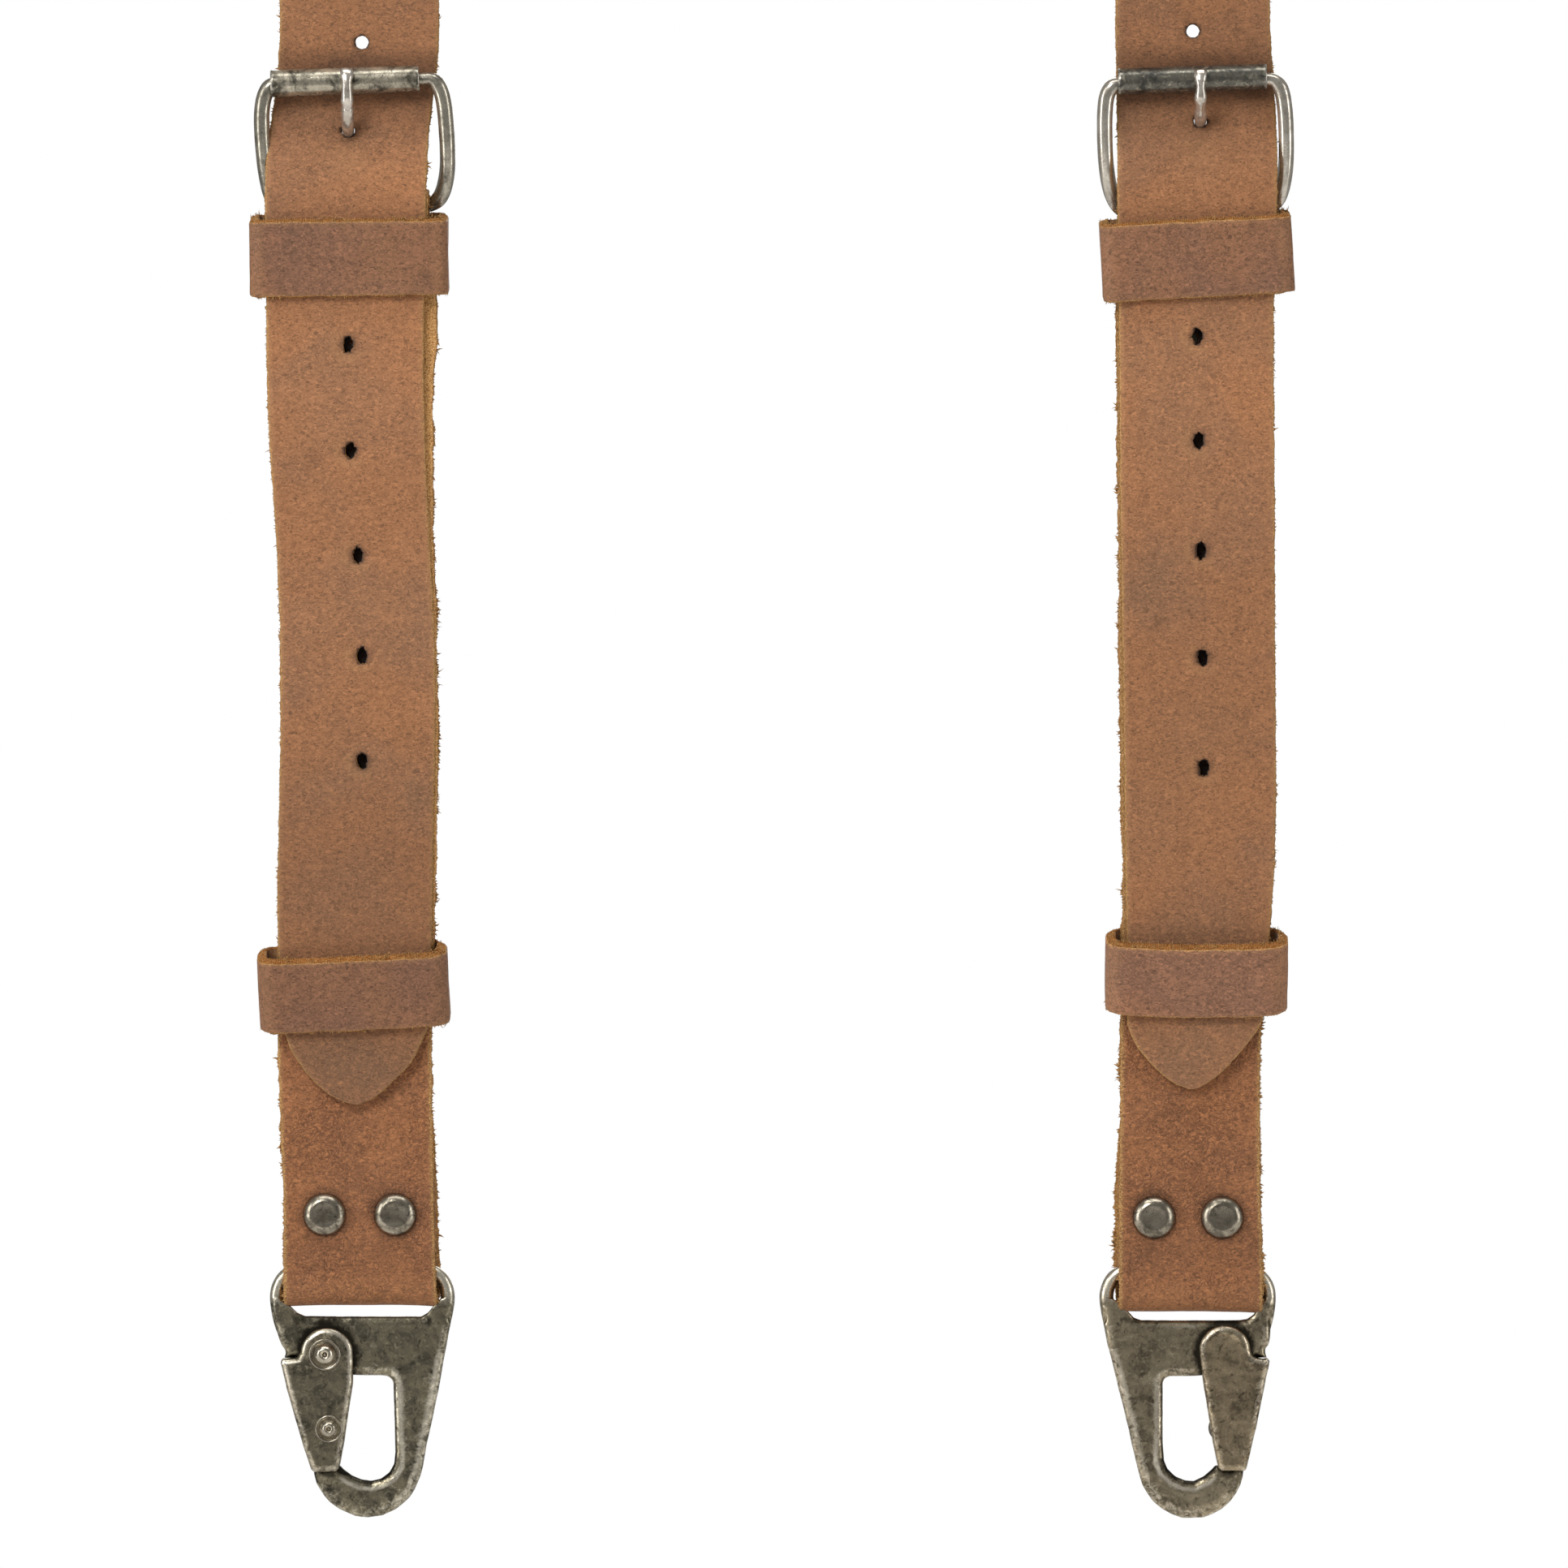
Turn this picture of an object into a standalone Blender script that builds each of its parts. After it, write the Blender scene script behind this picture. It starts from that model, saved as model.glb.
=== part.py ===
"""Leather suspenders: two long shoulder straps that pass over the shoulders, roller buckles
with short hook straps at the front, a leather yoke with one rear strap at the back, and
three stamped clip hooks with sprung gates.

The suspenders hang over a round rail. The origin is the middle of the rail's top line, on
the underside of the straps. +Z is up, +X is to the right seen from the front, and -Y is the
front. All the dimensions below are millimetres; MM turns them into Blender's metres.
"""

import math

import bmesh
import bpy
from mathutils import Matrix, Vector

MM = 0.001

# ---- driving dimensions (mm) -------------------------------------------------------------
STRAP_W = 32.0  # shoulder strap, 1 1/4 inch
STRAP_T = 2.2
HOOK_STRAP_W = 31.0
HOOK_STRAP_FOLD_W = 26.8  # narrowed where it folds round the buckle's heel bar
GAP = 0.3  # working gap between touching pieces
LEFT_X = -84.3  # centre line of each front strap
RIGHT_X = 84.1

RAIL_R = 26.1  # rail radius to the middle of the strap's thickness
RAIL_Z = 622.0  # height of the rail's axis above the front hooks' lowest point
TIP_Z = 83.6  # point of the shoulder strap
LEAN = math.radians(8.5)  # slope of the straps towards each other, above LEAN_FROM
LEAN_FROM, LEAN_OVER = 320.0, 100.0
STRAP_END_U = 815.0  # length coordinate of the strap's end under the yoke

UPPER_Y = -2.5  # middle of the shoulder strap where it lies on the hook strap
PRONG_HOLE_Z = 278.8
ADJUST_PITCH = 21.2
ADJUST_TOP_Z = 237.0
HOLE_D = 2.8

HEEL_Y, HEEL_Z = 2.7, 264.9  # buckle's heel bar
ROLLER_Y, ROLLER_Z = -4.15, 290.1  # buckle's roller bar
WIRE_R = 1.3
ROLLER_L, ROLLER_R, ROLLER_BORE = 30.0, 2.75, 1.65
BUCKLE_HALF = 19.05  # wire centre line at the widest point

HOOK_Y, HOOK_BAR_Z = 2.9, 50.2  # hook's top bar
HOOK_BAR_R = 1.35
FOLD_Z = 46.7  # middle of the leather loop round the hook's bar
PLATE_T = 2.5
GATE_T, GATE_WALL = 5.3, 0.8
PIVOT_X, PIVOT_Z = -7.4, 32.9  # gate pivot from the hook's middle and lowest point
CROSS_X, CROSS_Z = -6.7, 17.9
RIVET_Z, RIVET_SPACING = 61.3, 14.3

KEEPER_H = 16.6
REAR_HOOK_Z = 345.0  # rear hook's lowest point above the front hooks' lowest point

ORIGIN = Vector((0.0, RAIL_R, RAIL_Z + RAIL_R - STRAP_T / 2))

# ---- scene ------------------------------------------------------------------------------
for old in list(bpy.data.objects):
    bpy.data.objects.remove(old, do_unlink=True)

scene = bpy.context.scene
PARTS = bpy.data.collections.new("leather_suspenders")
CUTTERS = bpy.data.collections.new("cutters")
scene.collection.children.link(PARTS)
scene.collection.children.link(CUTTERS)


def linear(hexa):
    out = []
    for i in (0, 2, 4):
        c = int(hexa[i : i + 2], 16) / 255
        out.append(c / 12.92 if c <= 0.04045 else ((c + 0.055) / 1.055) ** 2.4)
    return (*out, 1.0)


def material(name, hexa, roughness, metallic):
    mat = bpy.data.materials.new(name)
    mat.use_nodes = True
    shader = mat.node_tree.nodes["Principled BSDF"]
    shader.inputs["Base Color"].default_value = linear(hexa)
    shader.inputs["Roughness"].default_value = roughness
    shader.inputs["Metallic"].default_value = metallic
    mat.diffuse_color = linear(hexa)
    mat.metallic = metallic
    mat.roughness = roughness
    return mat


LOOKS = {
    "strap": ("9A6B4C", 0.62, 0.0),
    "hook_strap": ("916344", 0.7, 0.0),
    "keeper": ("86604B", 0.7, 0.0),
    "yoke": ("8D6246", 0.66, 0.0),
    "frame": ("6A6459", 0.42, 1.0),
    "hook": ("5E574B", 0.45, 1.0),
    "rivet": ("857D6E", 0.36, 1.0),
    "spring": ("74726C", 0.35, 1.0),
}


def dress(obj, look):
    obj.data.materials.clear()
    obj.data.materials.append(material(obj.name + "_mat", *LOOKS[look]))


def empty(name, location, turn=0.0, parent=None):
    obj = bpy.data.objects.new(name, None)
    obj.empty_display_size = 0.01
    obj.location = Vector(location) * MM
    obj.rotation_euler = (0.0, 0.0, math.radians(turn))
    obj.parent = parent
    PARTS.objects.link(obj)
    return obj


def settle(obj, parent, pivot, look=None, cutter=False):
    """Gives the object its parent and puts its origin at the pivot, without moving its shape."""
    obj.data.transform(Matrix.Translation(-Vector(pivot) * MM))
    obj.location = Vector(pivot) * MM
    obj.parent = parent
    if cutter:
        obj.hide_render = True
        obj.display_type = "WIRE"
        CUTTERS.objects.link(obj)
    else:
        PARTS.objects.link(obj)
        dress(obj, look)
    return obj


def smooth(obj, angle=35.0):
    obj.data.shade_smooth()
    obj.data.set_sharp_from_angle(angle=math.radians(angle))


# ---- shapes -----------------------------------------------------------------------------
def strip_mesh(name, rows):
    """A ribbon one face wide through pairs of points (mm)."""
    bm = bmesh.new()
    bmesh.ops.create_grid(bm, x_segments=1, y_segments=len(rows) - 1, size=1.0)
    verts = sorted(bm.verts, key=lambda v: (round(v.co.y, 5), v.co.x))
    for i, (a, b) in enumerate(rows):
        verts[2 * i].co = Vector(a) * MM
        verts[2 * i + 1].co = Vector(b) * MM
    mesh = bpy.data.meshes.new(name)
    bm.to_mesh(mesh)
    bm.free()
    return mesh


def thicken(obj, thickness):
    mod = obj.modifiers.new("Thickness", "SOLIDIFY")
    mod.thickness = thickness * MM
    mod.offset = 0.0
    mod.use_even_offset = True
    return mod


def cut(obj, cutter, operation="DIFFERENCE"):
    mod = obj.modifiers.new("Cut_" + cutter.name, "BOOLEAN")
    mod.operation = operation
    mod.solver = "EXACT"
    mod.object = cutter
    return mod


def pins_mesh(name, pins, sides=12):
    """Cylinders from point to point with a radius, and an optional stretch along one axis."""
    bm = bmesh.new()
    for a, b, radius in pins:
        a, b = Vector(a) * MM, Vector(b) * MM
        along = b - a
        turn = along.to_track_quat("Z", "Y").to_matrix().to_4x4()
        bmesh.ops.create_cone(
            bm,
            cap_ends=True,
            segments=sides,
            radius1=radius * MM,
            radius2=radius * MM,
            depth=along.length,
            matrix=Matrix.Translation((a + b) / 2) @ turn,
        )
    mesh = bpy.data.meshes.new(name)
    bm.to_mesh(mesh)
    bm.free()
    return mesh


def box_mesh(name, low, high):
    bm = bmesh.new()
    low, high = Vector(low) * MM, Vector(high) * MM
    size = high - low
    bmesh.ops.create_cube(
        bm,
        size=1.0,
        matrix=Matrix.Translation((low + high) / 2)
        @ Matrix.Diagonal((size.x, size.y, size.z, 1.0)),
    )
    mesh = bpy.data.meshes.new(name)
    bm.to_mesh(mesh)
    bm.free()
    return mesh


def outline_mesh(name, loops, half, turn):
    """Flat outlines (mm) filled and extruded to both sides, as a mesh with welded caps."""
    curve = bpy.data.curves.new(name, "CURVE")
    curve.dimensions = "2D"
    curve.fill_mode = "BOTH"
    curve.extrude = half * MM
    for loop in loops:
        spline = curve.splines.new("POLY")
        spline.points.add(len(loop) - 1)
        for point, (x, y) in zip(spline.points, loop):
            point.co = (x * MM, y * MM, 0.0, 1.0)
        spline.use_cyclic_u = True
    helper = bpy.data.objects.new(name + "_outline", curve)
    scene.collection.objects.link(helper)
    bpy.context.view_layer.update()
    graph = bpy.context.evaluated_depsgraph_get()
    mesh = bpy.data.meshes.new_from_object(helper.evaluated_get(graph))
    mesh.name = name
    bpy.data.objects.remove(helper, do_unlink=True)
    bpy.data.curves.remove(curve)
    bm = bmesh.new()
    bm.from_mesh(mesh)
    bmesh.ops.remove_doubles(bm, verts=bm.verts, dist=1e-6)
    bmesh.ops.recalc_face_normals(bm, faces=bm.faces)
    bm.to_mesh(mesh)
    bm.free()
    mesh.transform(turn)
    return mesh


FACE_FRONT = Matrix.Rotation(math.radians(90), 4, "X")  # (x, y, 0) -> (x, 0, z)
ALONG_X = Matrix.Rotation(math.radians(90), 4, "Z") @ Matrix.Rotation(
    math.radians(90), 4, "X"
)  # (x, y, 0) -> (0, x, y)


def wire_mesh(name, points, radius, cyclic=False, resolution=2, radii=None):
    curve = bpy.data.curves.new(name, "CURVE")
    curve.dimensions = "3D"
    curve.bevel_depth = radius * MM
    curve.bevel_resolution = resolution
    curve.use_fill_caps = not cyclic
    spline = curve.splines.new("POLY")
    spline.points.add(len(points) - 1)
    for i, p in enumerate(points):
        spline.points[i].co = (p[0] * MM, p[1] * MM, p[2] * MM, 1.0)
        spline.points[i].radius = radii[i] if radii else 1.0
    spline.use_cyclic_u = cyclic
    helper = bpy.data.objects.new(name + "_wire", curve)
    scene.collection.objects.link(helper)
    bpy.context.view_layer.update()
    graph = bpy.context.evaluated_depsgraph_get()
    mesh = bpy.data.meshes.new_from_object(helper.evaluated_get(graph))
    mesh.name = name
    bpy.data.objects.remove(helper, do_unlink=True)
    bpy.data.curves.remove(curve)
    bm = bmesh.new()
    bm.from_mesh(mesh)
    bmesh.ops.remove_doubles(bm, verts=bm.verts, dist=2e-6)
    bmesh.ops.recalc_face_normals(bm, faces=bm.faces)
    bm.to_mesh(mesh)
    bm.free()
    return mesh


def turned_object(name, profile, steps=14):
    """A profile of (radius, height) pairs, from the top of the axis down its outer side, with Screw."""
    bm = bmesh.new()
    verts = [bm.verts.new((r * MM, 0.0, h * MM)) for r, h in profile]
    for a, b in zip(verts, verts[1:]):
        bm.edges.new((a, b))
    mesh = bpy.data.meshes.new(name)
    bm.to_mesh(mesh)
    bm.free()
    obj = bpy.data.objects.new(name, mesh)
    mod = obj.modifiers.new("Turn", "SCREW")
    mod.axis = "Z"
    mod.steps = steps
    mod.render_steps = steps
    mod.use_merge_vertices = True
    mod.merge_threshold = 0.00005
    mod.use_smooth_shade = True
    return obj


def arc(cx, cy, r, start, end, count):
    """Points on a circle, angles in degrees."""
    return [
        (
            cx + r * math.cos(math.radians(start + (end - start) * i / count)),
            cy + r * math.sin(math.radians(start + (end - start) * i / count)),
        )
        for i in range(count + 1)
    ]


def rounded_box(x0, y0, x1, y1, r, count=3):
    return (
        arc(x1 - r, y0 + r, r, -90, 0, count)
        + arc(x1 - r, y1 - r, r, 0, 90, count)
        + arc(x0 + r, y1 - r, r, 90, 180, count)
        + arc(x0 + r, y0 + r, r, 180, 270, count)
    )


def circle(cx, cy, r, count):
    return arc(cx, cy, r, 0, 360 - 360 / count, count - 1)


# ---- rivets -----------------------------------------------------------------------------
def cap_rivet(name, parent, x, z, front, back, out=-1):
    """A two-part cap rivet. front is the outer face that the cap lies on, back the inner one, and
    out the side (-1 or +1 along Y) that the cap faces."""
    grip = abs(back - front)
    profile = [
        (0.0, 1.75),
        (2.7, 1.6),
        (3.5, 1.25),
        (4.1, 0.65),
        (4.35, GAP),
        (1.5, GAP),
        (1.5, -grip - GAP),
        (4.0, -grip - GAP),
        (3.6, -grip - GAP - 0.75),
        (0.0, -grip - GAP - 0.9),
    ]
    obj = turned_object(name, profile)
    obj.location = Vector((x, front, z)) * MM
    obj.rotation_euler = (math.radians(90 if out < 0 else -90), 0.0, 0.0)
    obj.parent = parent
    PARTS.objects.link(obj)
    dress(obj, "rivet")
    return obj


# ---- hook strap: folded round the heel bar at the top and the hook's bar at the bottom -----
def hook_strap(name, parent, dx, top=None):
    """top is the height of a plain cut end; without it, the strap folds round a buckle's heel bar."""
    path = []
    if top is None:
        path += [(2.5, 226.0), (2.5, 253.0), (2.8, 256.0), (3.7, 259.4), (4.8, 262.4)]
        path += arc(HEEL_Y, HEEL_Z, 2.65, 0, 180, 8)
        path += [(0.0, 261.0), (0.0, 251.0), (0.0, 248.0)]
    else:
        path += [(0.0, top), (0.0, (top + FOLD_Z) / 2)]
    path += arc(HOOK_Y, FOLD_Z, HOOK_Y, 180, 360, 8)
    path += [(2 * HOOK_Y, 51.0), (5.2, 52.8), (3.2, 56.2), (2.5, 57.8), (2.5, 68.0)]
    rows = []
    for y, z in path:
        near_fold = top is None and z >= 251.0
        w = HOOK_STRAP_FOLD_W if near_fold else HOOK_STRAP_W
        rows.append(((dx - w / 2, y, z), (dx + w / 2, y, z)))
    obj = bpy.data.objects.new(name, strip_mesh(name, rows))
    thicken(obj, STRAP_T)
    half = RIVET_SPACING / 2
    pins = [((dx + s * half, -4, RIVET_Z), (dx + s * half, 8, RIVET_Z), 1.85) for s in (-1, 1)]
    if top is None:
        pins.append(((dx, -4, 238.0), (dx, 8, 238.0), 1.85))
        pins.append(((dx, -3, 238.0), (dx, -0.15, 238.0), 3.9))
    else:
        pins += [((dx + s * 7.5, -4, top - 16), (dx + s * 7.5, 4, top - 16), 1.85) for s in (-1, 1)]
    holes = bpy.data.objects.new(name + "_holes", pins_mesh(name + "_holes", pins[:3] if top is None else pins))
    settle(holes, parent, (0, 0, 0), cutter=True)
    cut(obj, holes)
    if top is None:
        sink = bpy.data.objects.new(name + "_sink", pins_mesh(name + "_sink", pins[3:]))
        settle(sink, parent, (0, 0, 0), cutter=True)
        cut(obj, sink)
        slot = bpy.data.objects.new(
            name + "_prong_slot", box_mesh(name + "_prong_slot", (dx - 2.3, -4, 259.5), (dx + 2.3, 9, 271))
        )
        settle(slot, parent, (0, 0, 0), cutter=True)
        cut(obj, slot)
    settle(obj, parent, (dx, 0, (top or HEEL_Z)), "hook_strap")
    return obj


# ---- clip hook --------------------------------------------------------------------------
def clip_hook(side, axis):
    """The hook in the frame of its top bar: x from its middle, z from the bar, y from the plate."""

    def at(points):
        return [(x, z - HOOK_BAR_Z) for x, z in points]

    # Plate: outline clockwise from the left shoulder. The eye is open to the left, where the gate
    # closes it, and the nose at the left carries the gate's pivot.
    plate = (
        [(-16.9, 40.8), (16.9, 40.8), (17.5, 38.0), (16.4, 32.0), (15.3, 26.0), (14.4, 21.0), (13.2, 15.5)]
        + [(12.3, 10.8), (11.5, 7.6), (10.2, 4.9), (8.4, 2.9), (6.2, 1.2), (3.6, 0.25), (1.2, 0.0)]
        + [(-1.2, 0.25), (-3.6, 1.1), (-5.8, 2.6), (-7.5, 4.3), (-8.6, 6.2), (-9.4, 8.8)]
        + [(-4.3, 8.8), (-3.4, 9.6), (-2.4, 8.6), (-0.6, 7.8), (1.9, 7.4), (4.2, 8.1), (5.7, 9.4), (6.6, 11.2)]
        + [(6.9, 14.0), (6.6, 20.0), (6.35, 27.6), (6.0, 28.5), (5.1, 28.9)]
        + arc(PIVOT_X, PIVOT_Z, 4.0, 270, 190, 6)
        + [(-12.6, 33.7), (-14.2, 33.5), (-15.4, 33.2), (-16.2, 34.2), (-17.4, 38.0)]
    )
    name = "hook_frame_" + side
    body = bpy.data.objects.new(name, outline_mesh(name, [at(plate)], PLATE_T / 2, FACE_FRONT))
    # Loop: a round bar that the strap folds round, with both ends running down into the plate.
    half = [(16.2, 36.5), (16.7, 40.5), (17.35, 44.6), (17.3, 47.2), (16.8, 49.0), (15.7, 50.2)]
    loop = [(-x, 0.0, z - HOOK_BAR_Z) for x, z in half] + [(x, 0.0, z - HOOK_BAR_Z) for x, z in reversed(half)]
    bar = bpy.data.objects.new(
        name + "_loop", wire_mesh(name + "_loop", loop, HOOK_BAR_R, resolution=2)
    )
    settle(bar, axis, (0, 0, 0), cutter=True)
    cut(body, bar, "UNION")
    px, pz = PIVOT_X, PIVOT_Z - HOOK_BAR_Z
    bore = bpy.data.objects.new(
        name + "_bore", pins_mesh(name + "_bore", [((px, -5, pz), (px, 5, pz), 1.65)])
    )
    settle(bore, axis, (0, 0, 0), cutter=True)
    cut(body, bore)
    settle(body, axis, (0, 0, 0), "hook")

    # Gate: a folded channel that straddles the plate, with a thumb nib beside its round head.
    name = "hook_gate_" + side
    gate = (
        arc(PIVOT_X + 0.3, PIVOT_Z, 5.3, 0, 165, 11)
        + [(-12.3, 32.2), (-13.2, 31.6), (-15.8, 31.9), (-16.5, 31.2), (-16.1, 29.9)]
        + [(-12.9, 19.4), (-9.9, 9.6), (-9.4, 9.15), (-5.1, 9.15), (-4.5, 9.7)]
        + [(-3.6, 14.0), (-2.2, 24.0), (-1.7, 29.5)]
    )
    body = bpy.data.objects.new(name, outline_mesh(name, [at(gate)], GATE_T / 2, FACE_FRONT))
    inside = [(8, 4), (8, 44), (-24, 44), (-24, 29.6), (-15.2, 29.6), (-12.05, 19.2), (-7.5, 4.0)]
    hollow = bpy.data.objects.new(
        name + "_hollow", outline_mesh(name + "_hollow", [at(inside)], GATE_T / 2 - GATE_WALL, FACE_FRONT)
    )
    settle(hollow, axis, (0, 0, 0), cutter=True)
    cut(body, hollow)
    cx, cz = CROSS_X, CROSS_Z - HOOK_BAR_Z
    bores = bpy.data.objects.new(
        name + "_bores",
        pins_mesh(name + "_bores", [((px, -5, pz), (px, 5, pz), 1.65), ((cx, -5, cz), (cx, 5, cz), 1.25)]),
    )
    settle(bores, axis, (0, 0, 0), cutter=True)
    cut(body, bores)
    settle(body, axis, (px, 0, pz), "hook")

    # Rivets: a domed head on one face, and the other end flush in its wall.
    face = GATE_T / 2
    for label, x, z, shaft, head in (
        ("gate_pivot_", px, pz, 1.3, 2.3),
        ("gate_cross_rivet_", cx, cz, 0.9, 1.95),
    ):
        profile = [
            (0.0, face + GAP + 0.85),
            (head * 0.35, face + GAP + 0.95),
            (head * 0.75, face + GAP + 0.7),
            (head, face + GAP),
            (shaft, face + GAP),
            (shaft, -face + 0.1),
            (0.0, -face + 0.1),
        ]
        obj = turned_object(label + side, profile, steps=12)
        obj.location = Vector((x, 0.0, z)) * MM
        obj.rotation_euler = (math.radians(90), 0.0, 0.0)
        obj.parent = axis
        PARTS.objects.link(obj)
        dress(obj, "rivet")

    # Torsion spring: coiled on the cross rivet, one leg up to the nose and one to the gate's web.
    turns, per, coil_r, pitch = 2.5, 10, 1.55, 0.75
    points = [(cx - 5.2, -0.95, cz + 6.2), (cx - 2.2, -0.95, cz + 2.0)]
    count = int(turns * per)
    for i in range(count + 1):
        a = math.radians(165 + 360 * i / per)
        points.append(
            (cx + coil_r * math.cos(a), -0.95 + pitch * turns * i / count, cz + coil_r * math.sin(a))
        )
    last = points[-1]
    points += [(last[0] + 0.55, last[1], cz + 2.6), (px + 0.3, last[1], pz - 4.75)]
    name = "gate_spring_" + side
    body = bpy.data.objects.new(name, wire_mesh(name, points, 0.3, resolution=1))
    settle(body, axis, (cx, 0, cz), "spring")


# ---- buckle -----------------------------------------------------------------------------
def buckle(side, parent, dx):
    def slope(z):
        return HEEL_Y + (ROLLER_Y - HEEL_Y) * (z - HEEL_Z) / (ROLLER_Z - HEEL_Z)

    # Frame: one closed wire loop, widest in the middle of its sides.
    half = [
        (15.3, HEEL_Z),
        (16.6, 265.5),
        (17.5, 267.4),
        (18.4, 270.4),
        (18.95, 274.5),
        (BUCKLE_HALF, 278.5),
        (18.75, 283.0),
        (18.0, 287.0),
        (16.9, 289.4),
        (15.6, ROLLER_Z),
    ]
    right = [(x, slope(z), z) for x, z in half]
    left = [(-x, y, z) for x, y, z in reversed(right)]
    loop = [(x + dx, y, z) for x, y, z in right + left]
    name = "buckle_frame_" + side
    frame = bpy.data.objects.new(name, wire_mesh(name, loop, WIRE_R, cyclic=True, resolution=2))
    settle(frame, parent, (dx, HEEL_Y, HEEL_Z), "frame")

    name = "buckle_roller_" + side
    ring = [circle(0, 0, ROLLER_R, 20), circle(0, 0, ROLLER_BORE, 16)]
    roller = bpy.data.objects.new(name, outline_mesh(name, ring, ROLLER_L / 2, ALONG_X))
    roller.data.transform(Matrix.Translation(Vector((dx, ROLLER_Y, ROLLER_Z)) * MM))
    settle(roller, parent, (dx, ROLLER_Y, ROLLER_Z), "frame")

    # Prong: a ring round the heel bar, a shank behind the strap, then through the hole and over
    # the roller.
    ring_r = 2.55
    path = []
    for i in range(11):
        a = math.radians(58 + (322 - 58) * i / 10)
        path.append((dx, HEEL_Y + ring_r * math.sin(a), HEEL_Z + ring_r * math.cos(a)))
    radii = [0.62] * len(path)
    path += [
        (dx, 1.9, 269.2),
        (dx, 2.0, 272.0),
        (dx, 1.7, 275.2),
        (dx, -3.9, 281.0),
        (dx, -7.7, 285.2),
        (dx, -8.7, 289.6),
        (dx, -8.45, 292.3),
    ]
    radii += [0.85, 1.0, 1.0, 1.0, 1.0, 0.95, 0.7]
    name = "buckle_prong_" + side
    prong = bpy.data.objects.new(name, wire_mesh(name, path, 1.3, resolution=2, radii=radii))
    settle(prong, parent, (dx, HEEL_Y, HEEL_Z), "frame")


# ---- keepers ----------------------------------------------------------------------------
def keeper(name, parent, dx, z, front, back, half):
    wall = 1.9
    outer = rounded_box(-half - wall, front - wall, half + wall, back + wall, 1.9)
    inner = rounded_box(-half, front, half, back, 0.9)
    mesh = outline_mesh(name, [outer, inner], KEEPER_H / 2, Matrix.Identity(4))
    mesh.transform(Matrix.Translation(Vector((dx, 0, z)) * MM))
    obj = bpy.data.objects.new(name, mesh)
    settle(obj, parent, (dx, 0, z), "keeper")
    return obj


# ---- shoulder strap ---------------------------------------------------------------------
def strap_y(z):
    """Depth of the strap's middle: out over the hook strap, back behind the roller."""
    t = min(max((z - 269.0) / (286.5 - 269.0), 0.0), 1.0)
    return UPPER_Y * (1 - t * t * (3 - 2 * t))


def lean(u):
    return LEAN * min(max((u - LEAN_FROM) / LEAN_OVER, 0.0), 1.0)


def drift(u):
    """Sideways travel of the centre line towards the middle at length coordinate u."""
    if u <= LEAN_FROM:
        return 0.0
    n, total = 40, 0.0
    for i in range(n):
        total += math.tan(lean(LEAN_FROM + (u - LEAN_FROM) * (i + 0.5) / n))
    return total * (u - LEAN_FROM) / n


def over_rail(x, u):
    """A point of the flat strap laid up the front, over the rail and down the back."""
    if u <= RAIL_Z:
        return (x, strap_y(u), u)
    turn = (u - RAIL_Z) / RAIL_R
    if turn <= math.pi:
        return (x, RAIL_R - RAIL_R * math.cos(turn), RAIL_Z + RAIL_R * math.sin(turn))
    return (x, 2 * RAIL_R, 2 * RAIL_Z + math.pi * RAIL_R - u)


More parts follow.
